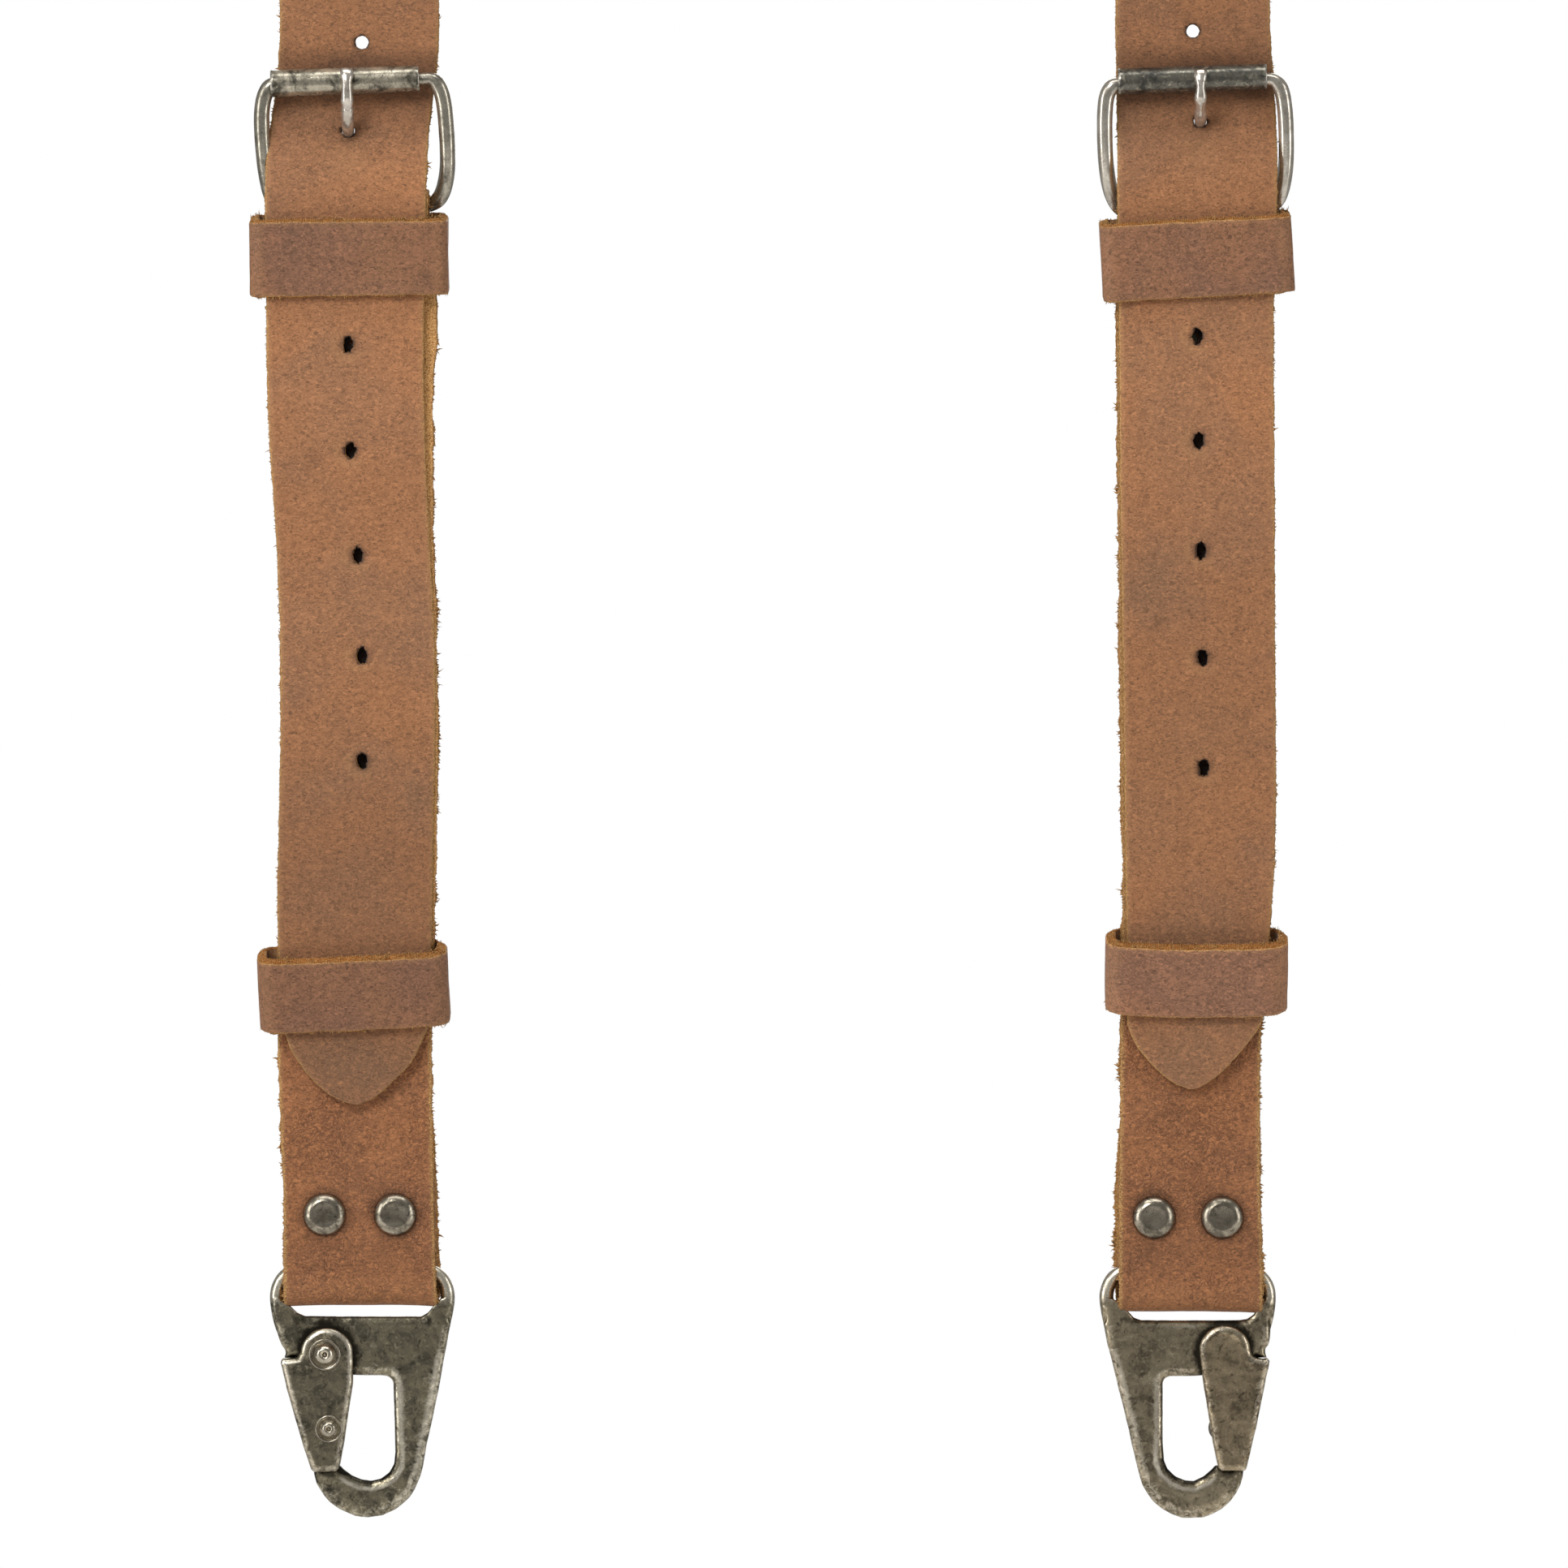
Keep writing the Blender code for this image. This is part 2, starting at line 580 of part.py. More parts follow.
def shoulder_strap(side, centre, inward):
    """centre is the strap's x at the front, and inward +1 or -1, the way it leans."""
    name = "shoulder_strap_" + side
    stations = [TIP_Z, TIP_Z + 3.0, TIP_Z + 6.0, TIP_Z + 9.5, TIP_Z + 13.5, TIP_Z + 18.0, 180.0, 268.0]
    stations += [271.0, 274.0, 277.0, 280.0, 283.0, 286.5, 300.0]
    stations += [LEAN_FROM + LEAN_OVER * i / 5 for i in range(6)] + [520.0]
    stations += [RAIL_Z + math.pi * RAIL_R * i / 14 for i in range(15)]
    stations += [740.0, STRAP_END_U]
    rows = []
    for u in stations:
        a = lean(u)
        half = STRAP_W / 2
        reach = u - TIP_Z
        if reach < 18.0:
            half = 1.2 + (half - 1.2) * math.sin(math.pi / 2 * (reach / 18.0) ** 0.8)
        pair = []
        for s in (-1, 1):
            across = s * half
            x = centre + inward * drift(u) + across * math.cos(a)
            pair.append(over_rail(x, u + across * inward * math.sin(a) * -1))
        rows.append(tuple(pair))
    rows = [(a, b) for a, b in rows]
    obj = bpy.data.objects.new(name, strip_mesh(name, rows))
    thicken(obj, STRAP_T)
    pins = []
    z = ADJUST_TOP_Z - 5 * ADJUST_PITCH
    while z < ADJUST_TOP_Z + ADJUST_PITCH + 0.1:
        pins.append(((centre, -6, z), (centre, 3, z), HOLE_D / 2))
        z += ADJUST_PITCH
    pins.append(((centre, -3, PRONG_HOLE_Z + ADJUST_PITCH), (centre, 3, PRONG_HOLE_Z + ADJUST_PITCH), HOLE_D / 2))
    for u in YOKE_RIVETS_U:
        x = centre + inward * drift(u)
        z = over_rail(x, u)[2]
        pins.append(((x, 45, z), (x, 60, z), 1.85))
    holes = bpy.data.objects.new(name + "_holes", pins_mesh(name + "_holes", pins))
    settle(holes, PLACE, (0, 0, 0), cutter=True)
    cut(obj, holes)
    # Prong hole: follows the prong's slope, and is longer than it is wide.
    slope = Vector((0.0, -5.6, 5.8)).normalized()
    middle = Vector((centre + BUCKLE_DX[side], -1.15, 278.3))
    mesh = pins_mesh(name + "_prong_hole", [((0, 0, -8), (0, 0, 8), 1.85)], sides=16)
    mesh.transform(Matrix.Diagonal((1.0, 1.32, 1.0, 1.0)))
    mesh.transform(slope.to_track_quat("Z", "Y").to_matrix().to_4x4())
    mesh.transform(Matrix.Translation(middle * MM))
    hole = bpy.data.objects.new(name + "_prong_hole", mesh)
    settle(hole, PLACE, (0, 0, 0), cutter=True)
    cut(obj, hole)
    settle(obj, PLACE, (centre, 0, TIP_Z), "strap")
    return obj


# ---- assembly ---------------------------------------------------------------------------
PLACE = empty("suspenders", -ORIGIN)
BUCKLE_DX = {"left": -0.9, "right": 0.3}
HOOK_DX = {"left": 0.5, "right": -0.9}
YOKE_RIVETS_U = (776.0, 800.0)

for side, centre, inward, turn in (
    ("left", LEFT_X, 1, 0.0),
    ("right", RIGHT_X, -1, 180.0),
):
    shoulder_strap(side, centre, inward)
    front = empty("front_" + side, (centre, 0, 0), parent=PLACE)
    dx, bx = HOOK_DX[side], BUCKLE_DX[side]
    hook_strap("hook_strap_" + side, front, dx)
    buckle(side, front, bx)
    keeper("keeper_upper_" + side, front, 0.0, 254.6, -4.1, 6.2, 18.0)
    keeper("keeper_lower_" + side, front, 0.0, 106.5, -4.1, 1.7, 17.4)
    for label, s in (("a", -1), ("b", 1)):
        cap_rivet(
            f"hook_strap_rivet_{side}_{label}", front, dx + s * RIVET_SPACING / 2, RIVET_Z, -1.1, 3.6
        )
    # Flat rivet of the buckle fold: its head is sunk into the strap's face.
    profile = [
        (0.0, -0.1),
        (3.4, -0.1),
        (3.4, -0.55),
        (1.5, -0.55),
        (1.5, -5.0),
        (4.0, -5.0),
        (3.6, -5.75),
        (0.0, -5.9),
    ]
    rivet = turned_object("buckle_fold_rivet_" + side, profile, steps=12)
    rivet.location = Vector((dx, -1.1, 238.0)) * MM
    rivet.rotation_euler = (math.radians(90), 0.0, 0.0)
    rivet.parent = front
    PARTS.objects.link(rivet)
    dress(rivet, "rivet")
    axis = empty("hook_axis_" + side, (dx, HOOK_Y, HOOK_BAR_Z), turn, parent=front)
    clip_hook(side, axis)

# Rear: the same folded strap and hook, turned to face the back, under the yoke.
REAR_TOP = 504.0 - REAR_HOOK_Z
rear = empty("rear", (0.0, 2 * RAIL_R, REAR_HOOK_Z), 180.0, parent=PLACE)
hook_strap("rear_strap", rear, 0.0, top=REAR_TOP)
for label, s in (("a", -1), ("b", 1)):
    cap_rivet(f"rear_strap_rivet_{label}", rear, s * RIVET_SPACING / 2, RIVET_Z, -1.1, 3.6)
axis = empty("hook_axis_rear", (0.0, HOOK_Y, HOOK_BAR_Z), parent=rear)
clip_hook("rear", axis)

# Yoke: one shield-shaped leather panel on the outside of the back crossing.
YOKE_Y = 2 * RAIL_R + STRAP_T + GAP
yoke_half = [(17.0, 470.0), (19.5, 486.0), (26.0, 503.0), (36.0, 524.0), (43.0, 546.0), (45.5, 558.0), (42.5, 562.0), (30.0, 562.5), (12.0, 555.0)]
yoke_outline = (
    [(x, z) for x, z in yoke_half]
    + [(-x, z) for x, z in reversed(yoke_half)]
)
mesh = outline_mesh("yoke", [yoke_outline], STRAP_T / 2, FACE_FRONT)
mesh.transform(Matrix.Translation(Vector((0, YOKE_Y, 0)) * MM))
yoke = bpy.data.objects.new("yoke", mesh)
pins, spots = [], []
for side, centre, inward in (("left", LEFT_X, 1), ("right", RIGHT_X, -1)):
    for label, u in zip("ab", YOKE_RIVETS_U):
        x = centre + inward * drift(u)
        spots.append((f"yoke_rivet_{side}_{label}", x, over_rail(x, u)[2]))
for label, s in (("left", -1), ("right", 1)):
    spots.append((f"yoke_rivet_rear_{label}", s * 7.5, 504.0 - 16.0))
for name, x, z in spots:
    pins.append(((x, 45, z), (x, 60, z), 1.85))
    cap_rivet(name, PLACE, x, z, YOKE_Y + STRAP_T / 2, 2 * RAIL_R - STRAP_T / 2, out=1)
holes = bpy.data.objects.new("yoke_holes", pins_mesh("yoke_holes", pins))
settle(holes, PLACE, (0, 0, 0), cutter=True)
cut(yoke, holes)
settle(yoke, PLACE, (0, YOKE_Y, 516), "yoke")

bpy.context.view_layer.update()
for obj in PARTS.objects:
    if obj.type == "MESH" and not obj.name.startswith(("shoulder_strap", "rear_strap")):
        smooth(obj)
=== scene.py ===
"""Leather suspenders with roller buckles and clip hooks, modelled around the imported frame."""

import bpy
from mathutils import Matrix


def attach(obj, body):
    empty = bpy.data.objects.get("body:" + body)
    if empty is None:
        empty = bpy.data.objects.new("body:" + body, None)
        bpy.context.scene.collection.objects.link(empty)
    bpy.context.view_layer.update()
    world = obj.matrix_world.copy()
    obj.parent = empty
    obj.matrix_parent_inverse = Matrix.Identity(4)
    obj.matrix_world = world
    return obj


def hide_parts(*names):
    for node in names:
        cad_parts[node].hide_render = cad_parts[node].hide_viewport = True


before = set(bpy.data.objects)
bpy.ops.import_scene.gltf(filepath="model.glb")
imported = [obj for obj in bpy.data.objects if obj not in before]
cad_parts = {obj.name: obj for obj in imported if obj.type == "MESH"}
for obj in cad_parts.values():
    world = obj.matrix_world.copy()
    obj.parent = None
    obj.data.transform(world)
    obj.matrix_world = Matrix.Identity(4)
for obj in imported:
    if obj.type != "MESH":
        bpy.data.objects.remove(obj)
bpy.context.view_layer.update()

import math

import bmesh
import bpy
import numpy as np
from mathutils import Matrix, Vector

# ------------------------------------------------------------------ places (mm, from the design)
OY, OZ = 26.1, 647.0  # offset from assembly millimetres to the row frame
LEFT_X, RIGHT_X = -84.3, 84.1
RAIL_R, RAIL_Z = 26.1, 622.0
TIP_Z = 83.6
LEAN, LEAN_FROM, LEAN_OVER = math.radians(8.5), 320.0, 100.0
STRAP_END_U = 815.0
STRAP_T = 2.2
UPPER_Y = -2.5
HEEL_Y, HEEL_Z = 2.7, 264.9
ROLLER_Y, ROLLER_Z = -4.15, 290.1
HOOK_Y, HOOK_BAR_Z, FOLD_Z = 2.9, 50.2, 46.7
PIVOT_X, PIVOT_Z, CROSS_X, CROSS_Z = -7.4, 32.9, -6.7, 17.9
REAR_HOOK_Z = 345.0
YOKE_Y = 2 * RAIL_R + STRAP_T + 0.3
BUCKLE_X = {"left": LEFT_X - 0.9, "right": RIGHT_X + 0.3}
HOOK_X = {"left": LEFT_X + 0.5, "right": RIGHT_X - 0.9}
S = 0.164  # mm per design step of the front outline tables below


def sx(v):
    return (np.asarray(v, float) - 957.0) * S


def sz(v):
    return (1870.0 - np.asarray(v, float)) * S


def row(P):
    """Assembly millimetres to row-frame metres."""
    P = np.asarray(P, float)
    return (P - np.array([0.0, OY, OZ])) * 0.001


# ------------------------------------------------------------------ noise
def _hash(ix, iy, iz, seed):
    n = (ix * 73856093) ^ (iy * 19349663) ^ (iz * 83492791) ^ (seed * 26544357)
    n = (n ^ (n >> 13)) & 0xFFFFFFFF
    n = (n * 1274126177) & 0xFFFFFFFF
    n = n ^ (n >> 16)
    return (n & 0xFFFF) / 32767.5 - 1.0


def vnoise(P, size, seed=0):
    q = np.asarray(P, float) / size
    i = np.floor(q).astype(np.int64)
    f = q - i
    f = f * f * (3 - 2 * f)
    out = 0.0
    for dx in (0, 1):
        for dy in (0, 1):
            for dz in (0, 1):
                w = (
                    (f[..., 0] if dx else 1 - f[..., 0])
                    * (f[..., 1] if dy else 1 - f[..., 1])
                    * (f[..., 2] if dz else 1 - f[..., 2])
                )
                out = out + w * _hash(i[..., 0] + dx, i[..., 1] + dy, i[..., 2] + dz, seed)
    return out


def fbm(P, size, seed=0, octaves=3):
    total, amp, norm = 0.0, 1.0, 0.0
    for k in range(octaves):
        total = total + amp * vnoise(P, size / 2**k, seed + 17 * k)
        norm += amp
        amp *= 0.5
    return total / norm


# ------------------------------------------------------------------ mesh helpers
def unit(v):
    return v / np.maximum(np.linalg.norm(v, axis=-1, keepdims=True), 1e-12)


def build(name, V, faces, mats, idx=None, attrs=None, angle=None, to_row=True):
    me = bpy.data.meshes.new(name)
    pts = row(V) if to_row else np.asarray(V, float)
    flist = []
    for f in faces:
        flist.extend(f.tolist() if hasattr(f, "tolist") else f)
    me.from_pydata(pts.tolist(), [], flist)
    for m in mats:
        me.materials.append(m)
    if idx is not None:
        me.polygons.foreach_set("material_index", np.asarray(idx, np.int32))
    me.shade_smooth()
    if angle:
        me.set_sharp_from_angle(angle=math.radians(angle))
    for key, values in (attrs or {}).items():
        a = me.attributes.new(key, "FLOAT", "POINT")
        a.data.foreach_set("value", np.asarray(values, np.float32).ravel())
    me.update()
    obj = bpy.data.objects.new(name, me)
    bpy.context.scene.collection.objects.link(obj)
    return obj


def ring_faces(n, m, cyclic=False, flip=False):
    i = np.arange(n if cyclic else n - 1)
    j = np.arange(m)
    I, J = np.meshgrid(i, j, indexing="ij")
    I2, J2 = (I + 1) % n, (J + 1) % m
    f = np.stack([I * m + J, I * m + J2, I2 * m + J2, I2 * m + J], -1).reshape(-1, 4)
    return f[:, ::-1] if flip else f


def volume(V, F):
    a, b, c, d = (V[F[:, k]] for k in range(4))
    return float((np.einsum("ij,ij->i", a, np.cross(b, c)) + np.einsum("ij,ij->i", a, np.cross(c, d))).sum())


def resample(P, step):
    P = np.asarray(P, float)
    d = np.r_[0, np.cumsum(np.linalg.norm(np.diff(P, axis=0), axis=1))]
    n = max(int(round(d[-1] / step)), 2)
    t = np.linspace(0, d[-1], n + 1)
    return np.stack([np.interp(t, d, P[:, k]) for k in range(P.shape[1])], 1)


def chaikin(P, rounds=3, closed=False):
    P = np.asarray(P, float)
    for _ in range(rounds):
        Q = np.roll(P, -1, 0) if closed else P[1:]
        A = P if closed else P[:-1]
        new = np.empty((2 * len(A), P.shape[1]))
        new[0::2] = 0.75 * A + 0.25 * Q
        new[1::2] = 0.25 * A + 0.75 * Q
        P = new if closed else np.vstack([P[:1], new, P[-1:]])
    return P


def evaluated(obj):
    """The object's mesh with its modifiers applied, in place of the old one."""
    bpy.context.view_layer.update()
    graph = bpy.context.evaluated_depsgraph_get()
    me = bpy.data.meshes.new_from_object(obj.evaluated_get(graph))
    obj.modifiers.clear()
    old = obj.data
    obj.data = me
    bpy.data.meshes.remove(old)
    return obj


def coords(me):
    co = np.empty(len(me.vertices) * 3)
    me.vertices.foreach_get("co", co)
    return co.reshape(-1, 3)


def normals(me):
    no = np.empty(len(me.vertices) * 3)
    me.vertices.foreach_get("normal", no)
    return no.reshape(-1, 3)


def set_coords(me, co):
    me.vertices.foreach_set("co", co.ravel())
    me.update()


def wear_and_painted_light(me, gain, smooth=3, name="wear_and_painted_light"):
    """Convexity of each vertex as an attribute: high on worn outer edges, low in hollows."""
    co, no = coords(me), normals(me)
    e = np.empty(len(me.edges) * 2, np.int32)
    me.edges.foreach_get("vertices", e)
    e = e.reshape(-1, 2)
    total = np.zeros(len(co))
    count = np.zeros(len(co))
    for a, b in ((e[:, 0], e[:, 1]), (e[:, 1], e[:, 0])):
        d = co[a] - co[b]
        v = np.einsum("ij,ij->i", unit(d), no[a])
        np.add.at(total, a, v)
        np.add.at(count, a, 1)
    w = total / np.maximum(count, 1)
    for _ in range(smooth):
        acc, cnt = w.copy(), np.ones(len(w))
        np.add.at(acc, e[:, 0], w[e[:, 1]])
        np.add.at(acc, e[:, 1], w[e[:, 0]])
        np.add.at(cnt, e[:, 0], 1)
        np.add.at(cnt, e[:, 1], 1)
        w = acc / cnt
    w = np.clip(0.5 + w * gain, 0, 1)
    a = me.attributes.get(name) or me.attributes.new(name, "FLOAT", "POINT")
    a.data.foreach_set("value", w.astype(np.float32))


# ------------------------------------------------------------------ materials
def linear(h):
    out = []
    for i in (0, 2, 4):
        c = int(h[i : i + 2], 16) / 255
        out.append(c / 12.92 if c <= 0.04045 else ((c + 0.055) / 1.055) ** 2.4)
    return (*out, 1.0)


class Mat:
    def __init__(self, name):
        self.mat = bpy.data.materials.new(name)
        self.mat.use_nodes = True
        self.t = self.mat.node_tree
        self.bsdf = self.t.nodes["Principled BSDF"]
        tc = self.t.nodes.new("ShaderNodeTexCoord")
        sc = self.t.nodes.new("ShaderNodeVectorMath")
        sc.operation = "SCALE"
        sc.inputs["Scale"].default_value = 1000.0
        self.link(tc.outputs["Object"], sc.inputs[0])
        self.mm = sc.outputs[0]

    def link(self, a, b):
        self.t.links.new(a, b)

    def noise(self, size, detail=2.0, rough=0.5, distortion=0.0, stretch=None):
        n = self.t.nodes.new("ShaderNodeTexNoise")
        n.inputs["Scale"].default_value = 1.0 / size
        n.inputs["Detail"].default_value = detail
        n.inputs["Roughness"].default_value = rough
        n.inputs["Distortion"].default_value = distortion
        src = self.mm
        if stretch:
            m = self.t.nodes.new("ShaderNodeVectorMath")
            m.operation = "MULTIPLY"
            m.inputs[1].default_value = stretch
            self.link(src, m.inputs[0])
            src = m.outputs[0]
        self.link(src, n.inputs["Vector"])
        return n.outputs["Fac"]

    def voronoi(self, size, feature="DISTANCE_TO_EDGE", warp=0.0):
        v = self.t.nodes.new("ShaderNodeTexVoronoi")
        v.feature = feature
        v.inputs["Scale"].default_value = 1.0 / size
        src = self.mm
        if warp:
            n = self.t.nodes.new("ShaderNodeTexNoise")
            n.inputs["Scale"].default_value = 1.0 / (size * 1.3)
            self.link(self.mm, n.inputs["Vector"])
            a = self.t.nodes.new("ShaderNodeVectorMath")
            a.operation = "SCALE"
            a.inputs["Scale"].default_value = warp
            self.link(n.outputs["Color"], a.inputs[0])
            b = self.t.nodes.new("ShaderNodeVectorMath")
            b.operation = "ADD"
            self.link(self.mm, b.inputs[0])
            self.link(a.outputs[0], b.inputs[1])
            src = b.outputs[0]
        self.link(src, v.inputs["Vector"])
        return v.outputs["Distance"]

    def attr(self, name):
        a = self.t.nodes.new("ShaderNodeAttribute")
        a.attribute_name = name
        return a.outputs["Fac"]

    def math(self, op, a, b=None, c=None, clamp=False):
        m = self.t.nodes.new("ShaderNodeMath")
        m.operation = op
        m.use_clamp = clamp
        for k, v in enumerate((a, b, c)):
            if v is None:
                continue
            if isinstance(v, (int, float)):
                m.inputs[k].default_value = v
            else:
                self.link(v, m.inputs[k])
        return m.outputs[0]

    def span(self, v, lo, hi, a=0.0, b=1.0):
        m = self.t.nodes.new("ShaderNodeMapRange")
        m.clamp = True
        m.inputs["From Min"].default_value = lo
        m.inputs["From Max"].default_value = hi
        m.inputs["To Min"].default_value = a
        m.inputs["To Max"].default_value = b
        self.link(v, m.inputs["Value"])
        return m.outputs[0]

    def mix(self, fac, a, b, mode="MIX"):
        m = self.t.nodes.new("ShaderNodeMix")
        m.data_type = "RGBA"
        m.blend_type = mode
        if isinstance(fac, (int, float)):
            m.inputs["Factor"].default_value = fac
        else:
            self.link(fac, m.inputs["Factor"])
        for k, v in ((6, a), (7, b)):
            if isinstance(v, str):
                m.inputs[k].default_value = linear(v)
            elif isinstance(v, tuple):
                m.inputs[k].default_value = v
            else:
                self.link(v, m.inputs[k])
        return m.outputs[2]

    def grey(self, v):
        n = self.t.nodes.new("ShaderNodeCombineColor")
        for k in range(3):
            self.link(v, n.inputs[k])
        return n.outputs[0]

    def color(self, c):
        self.link(c, self.bsdf.inputs["Base Color"])

    def bump(self, h, strength, mm, prev=None):
        b = self.t.nodes.new("ShaderNodeBump")
        b.inputs["Strength"].default_value = strength
        b.inputs["Distance"].default_value = mm * 0.001
        self.link(h, b.inputs["Height"])
        if prev is not None:
            self.link(prev, b.inputs["Normal"])
        return b.outputs[0]

    def done(self, normal=None, rough=None, **fixed):
        if normal is not None:
            self.link(normal, self.bsdf.inputs["Normal"])
        if rough is not None:
            self.link(rough, self.bsdf.inputs["Roughness"])
        for key, v in fixed.items():
            self.bsdf.inputs[key.replace("_", " ")].default_value = v
        return self.mat


def shade(rgb, k=1.0):
    """An sRGB 0-255 triple as a linear colour, scaled."""
    out = []
    for c in rgb:
        c = c / 255
        out.append(k * (c / 12.92 if c <= 0.04045 else ((c + 0.055) / 1.055) ** 2.4))
    return (*out, 1.0)


LIT = 0.93  # how bright the studio renders a matt surface facing it, against its own colour


def leather(name, rgb, nap=0.8, pebble=0.0, contrast=1.0, cloud=1.0, rough=(0.50, 0.72), warm=(176, 118, 72), grey=(128, 100, 80)):
    """Oiled nubuck: soft tonal clouds, short-fibre mottling and a fine or pebbled grain."""
    m = Mat(name)
    base = shade(rgb, LIT)
    dark = shade([c * 0.72 for c in rgb], LIT)
    deep = shade([rgb[0] * 0.60, rgb[1] * 0.52, rgb[2] * 0.46], LIT)
    light = shade([min(c * 1.24, 255) for c in rgb], LIT)
    big = m.noise(24.0, 2.0, 0.5, 0.5)
    mid = m.noise(6.0, 3.0, 0.6, 0.3)
    grain = m.noise(nap, 3.0, 0.62, 1.4, stretch=(0.75, 1.0, 1.25))
    fine = m.noise(nap * 0.42, 2.0, 0.6, 0.8)
    hair = m.noise(nap * 1.7, 3.0, 0.7, 3.2)
    c = m.mix(m.span(big, 0.40, 0.64, 0.0, 0.42 * cloud), base, shade(warm, LIT))
    c = m.mix(m.span(big, 0.50, 0.34, 0.0, 0.40 * cloud), c, shade(grey, LIT))
    tint = m.attr("tint")
    c = m.mix(m.math("MULTIPLY", tint, 0.75, clamp=True), c, shade(grey, LIT))
    c = m.mix(m.span(mid, 0.40, 0.24, 0.0, 0.40 * contrast), c, dark)
    c = m.mix(m.span(mid, 0.56, 0.76, 0.0, 0.34 * contrast), c, light)
    c = m.mix(m.span(grain, 0.50, 0.32, 0.0, 0.72 * contrast), c, dark)
    c = m.mix(m.span(grain, 0.52, 0.70, 0.0, 0.62 * contrast), c, light)
    c = m.mix(m.span(hair, 0.60, 0.72, 0.0, 0.34 * contrast), c, light)
    c = m.mix(m.span(fine, 0.42, 0.26, 0.0, 0.45 * contrast), c, dark)
    height = m.math("ADD", m.math("MULTIPLY", grain, 0.65), m.math("MULTIPLY", fine, 0.35))
    n = m.bump(height, 0.55, 0.20)
    if pebble:
        lumps = m.noise(pebble, 2.0, 0.55, 1.8)
        fold = m.math("ABSOLUTE", m.math("SUBTRACT", lumps, 0.5))
        crease = m.span(fold, 0.0, 0.075, 1.0, 0.0)
        patch = m.span(m.noise(10.0, 2.0), 0.36, 0.62, 0.35, 1.0)
        c = m.mix(m.math("MULTIPLY", m.math("MULTIPLY", crease, patch), 0.60), c, deep)
        n = m.bump(m.math("MULTIPLY", m.span(fold, 0.0, 0.12), patch), 0.6, 0.26, n)
    pale = m.attr("pale")
    c = m.mix(m.math("MULTIPLY", m.math("MULTIPLY", pale, m.span(grain, 0.3, 0.65, 0.35, 1.0)), 0.75, clamp=True), c, shade((186, 138, 92), LIT))
    # where the cut edge rolls over on to the face
    raw = m.attr("raw")
    tuft = m.mix(m.span(fine, 0.36, 0.64), shade((132, 88, 46), LIT), shade((216, 168, 106), LIT))
    c = m.mix(m.span(m.math("ADD", raw, m.math("MULTIPLY", m.math("SUBTRACT", grain, 0.5), 1.3)), 0.34, 0.62), c, tuft)
    tone_and_painted_light = m.attr("tone_and_painted_light")
    c = m.mix(1.0, c, m.grey(tone_and_painted_light), "MULTIPLY")
    # darkening from an attribute: creases and grime, and painted shade in the holes, under the roller and keeper rims,
    # round the rivet caps and inside the keepers
    darkening_and_painted_shade = m.attr("darkening_and_painted_shade")
    c = m.mix(m.math("MULTIPLY", darkening_and_painted_shade, 1.0, clamp=True), c, shade((26, 13, 8)))
    m.color(c)
    return m.done(n, m.span(m.math("ADD", grain, mid), 0.7, 1.3, rough[1], rough[0]), Specular_IOR_Level=0.30, Sheen_Weight=0.04, Sheen_Roughness=0.45)


def cut_edge(name, base, dark, light):
    """The fibrous cut edge of a strap."""
    m = Mat(name)
    a = m.noise(0.5, 3.0, 0.7, 1.2)
    b = m.noise(2.2, 2.0, 0.5)
    c = m.mix(m.span(a, 0.36, 0.66), shade(dark, LIT), shade(light, LIT))
    c = m.mix(m.span(b, 0.35, 0.65, 0.1, 0.6), c, shade(base, LIT))
    m.color(c)
    n = m.bump(a, 0.9, 0.35)
    return m.done(n, Roughness=0.92, Specular_IOR_Level=0.15)


def flesh(name, base, dark, light):
    """The suede back of the leather."""
    m = Mat(name)
    a = m.noise(0.8, 4.0, 0.7, 1.5)
    b = m.noise(8.0, 2.0, 0.5)
    c = m.mix(m.span(a, 0.34, 0.68), shade(dark, LIT), shade(light, LIT))
    c = m.mix(m.span(b, 0.3, 0.7, 0.25, 0.7), c, shade(base, LIT))
    # painted shade on the inner face of the keepers comes in through the darkening attribute
    c = m.mix(m.math("MULTIPLY", m.attr("darkening_and_painted_shade"), 0.9, clamp=True), c, shade((26, 13, 8)))
    m.color(c)
    n = m.bump(a, 0.8, 0.3)
    return m.done(n, Roughness=0.95, Specular_IOR_Level=0.12, Sheen_Weight=0.2, Sheen_Roughness=0.6)


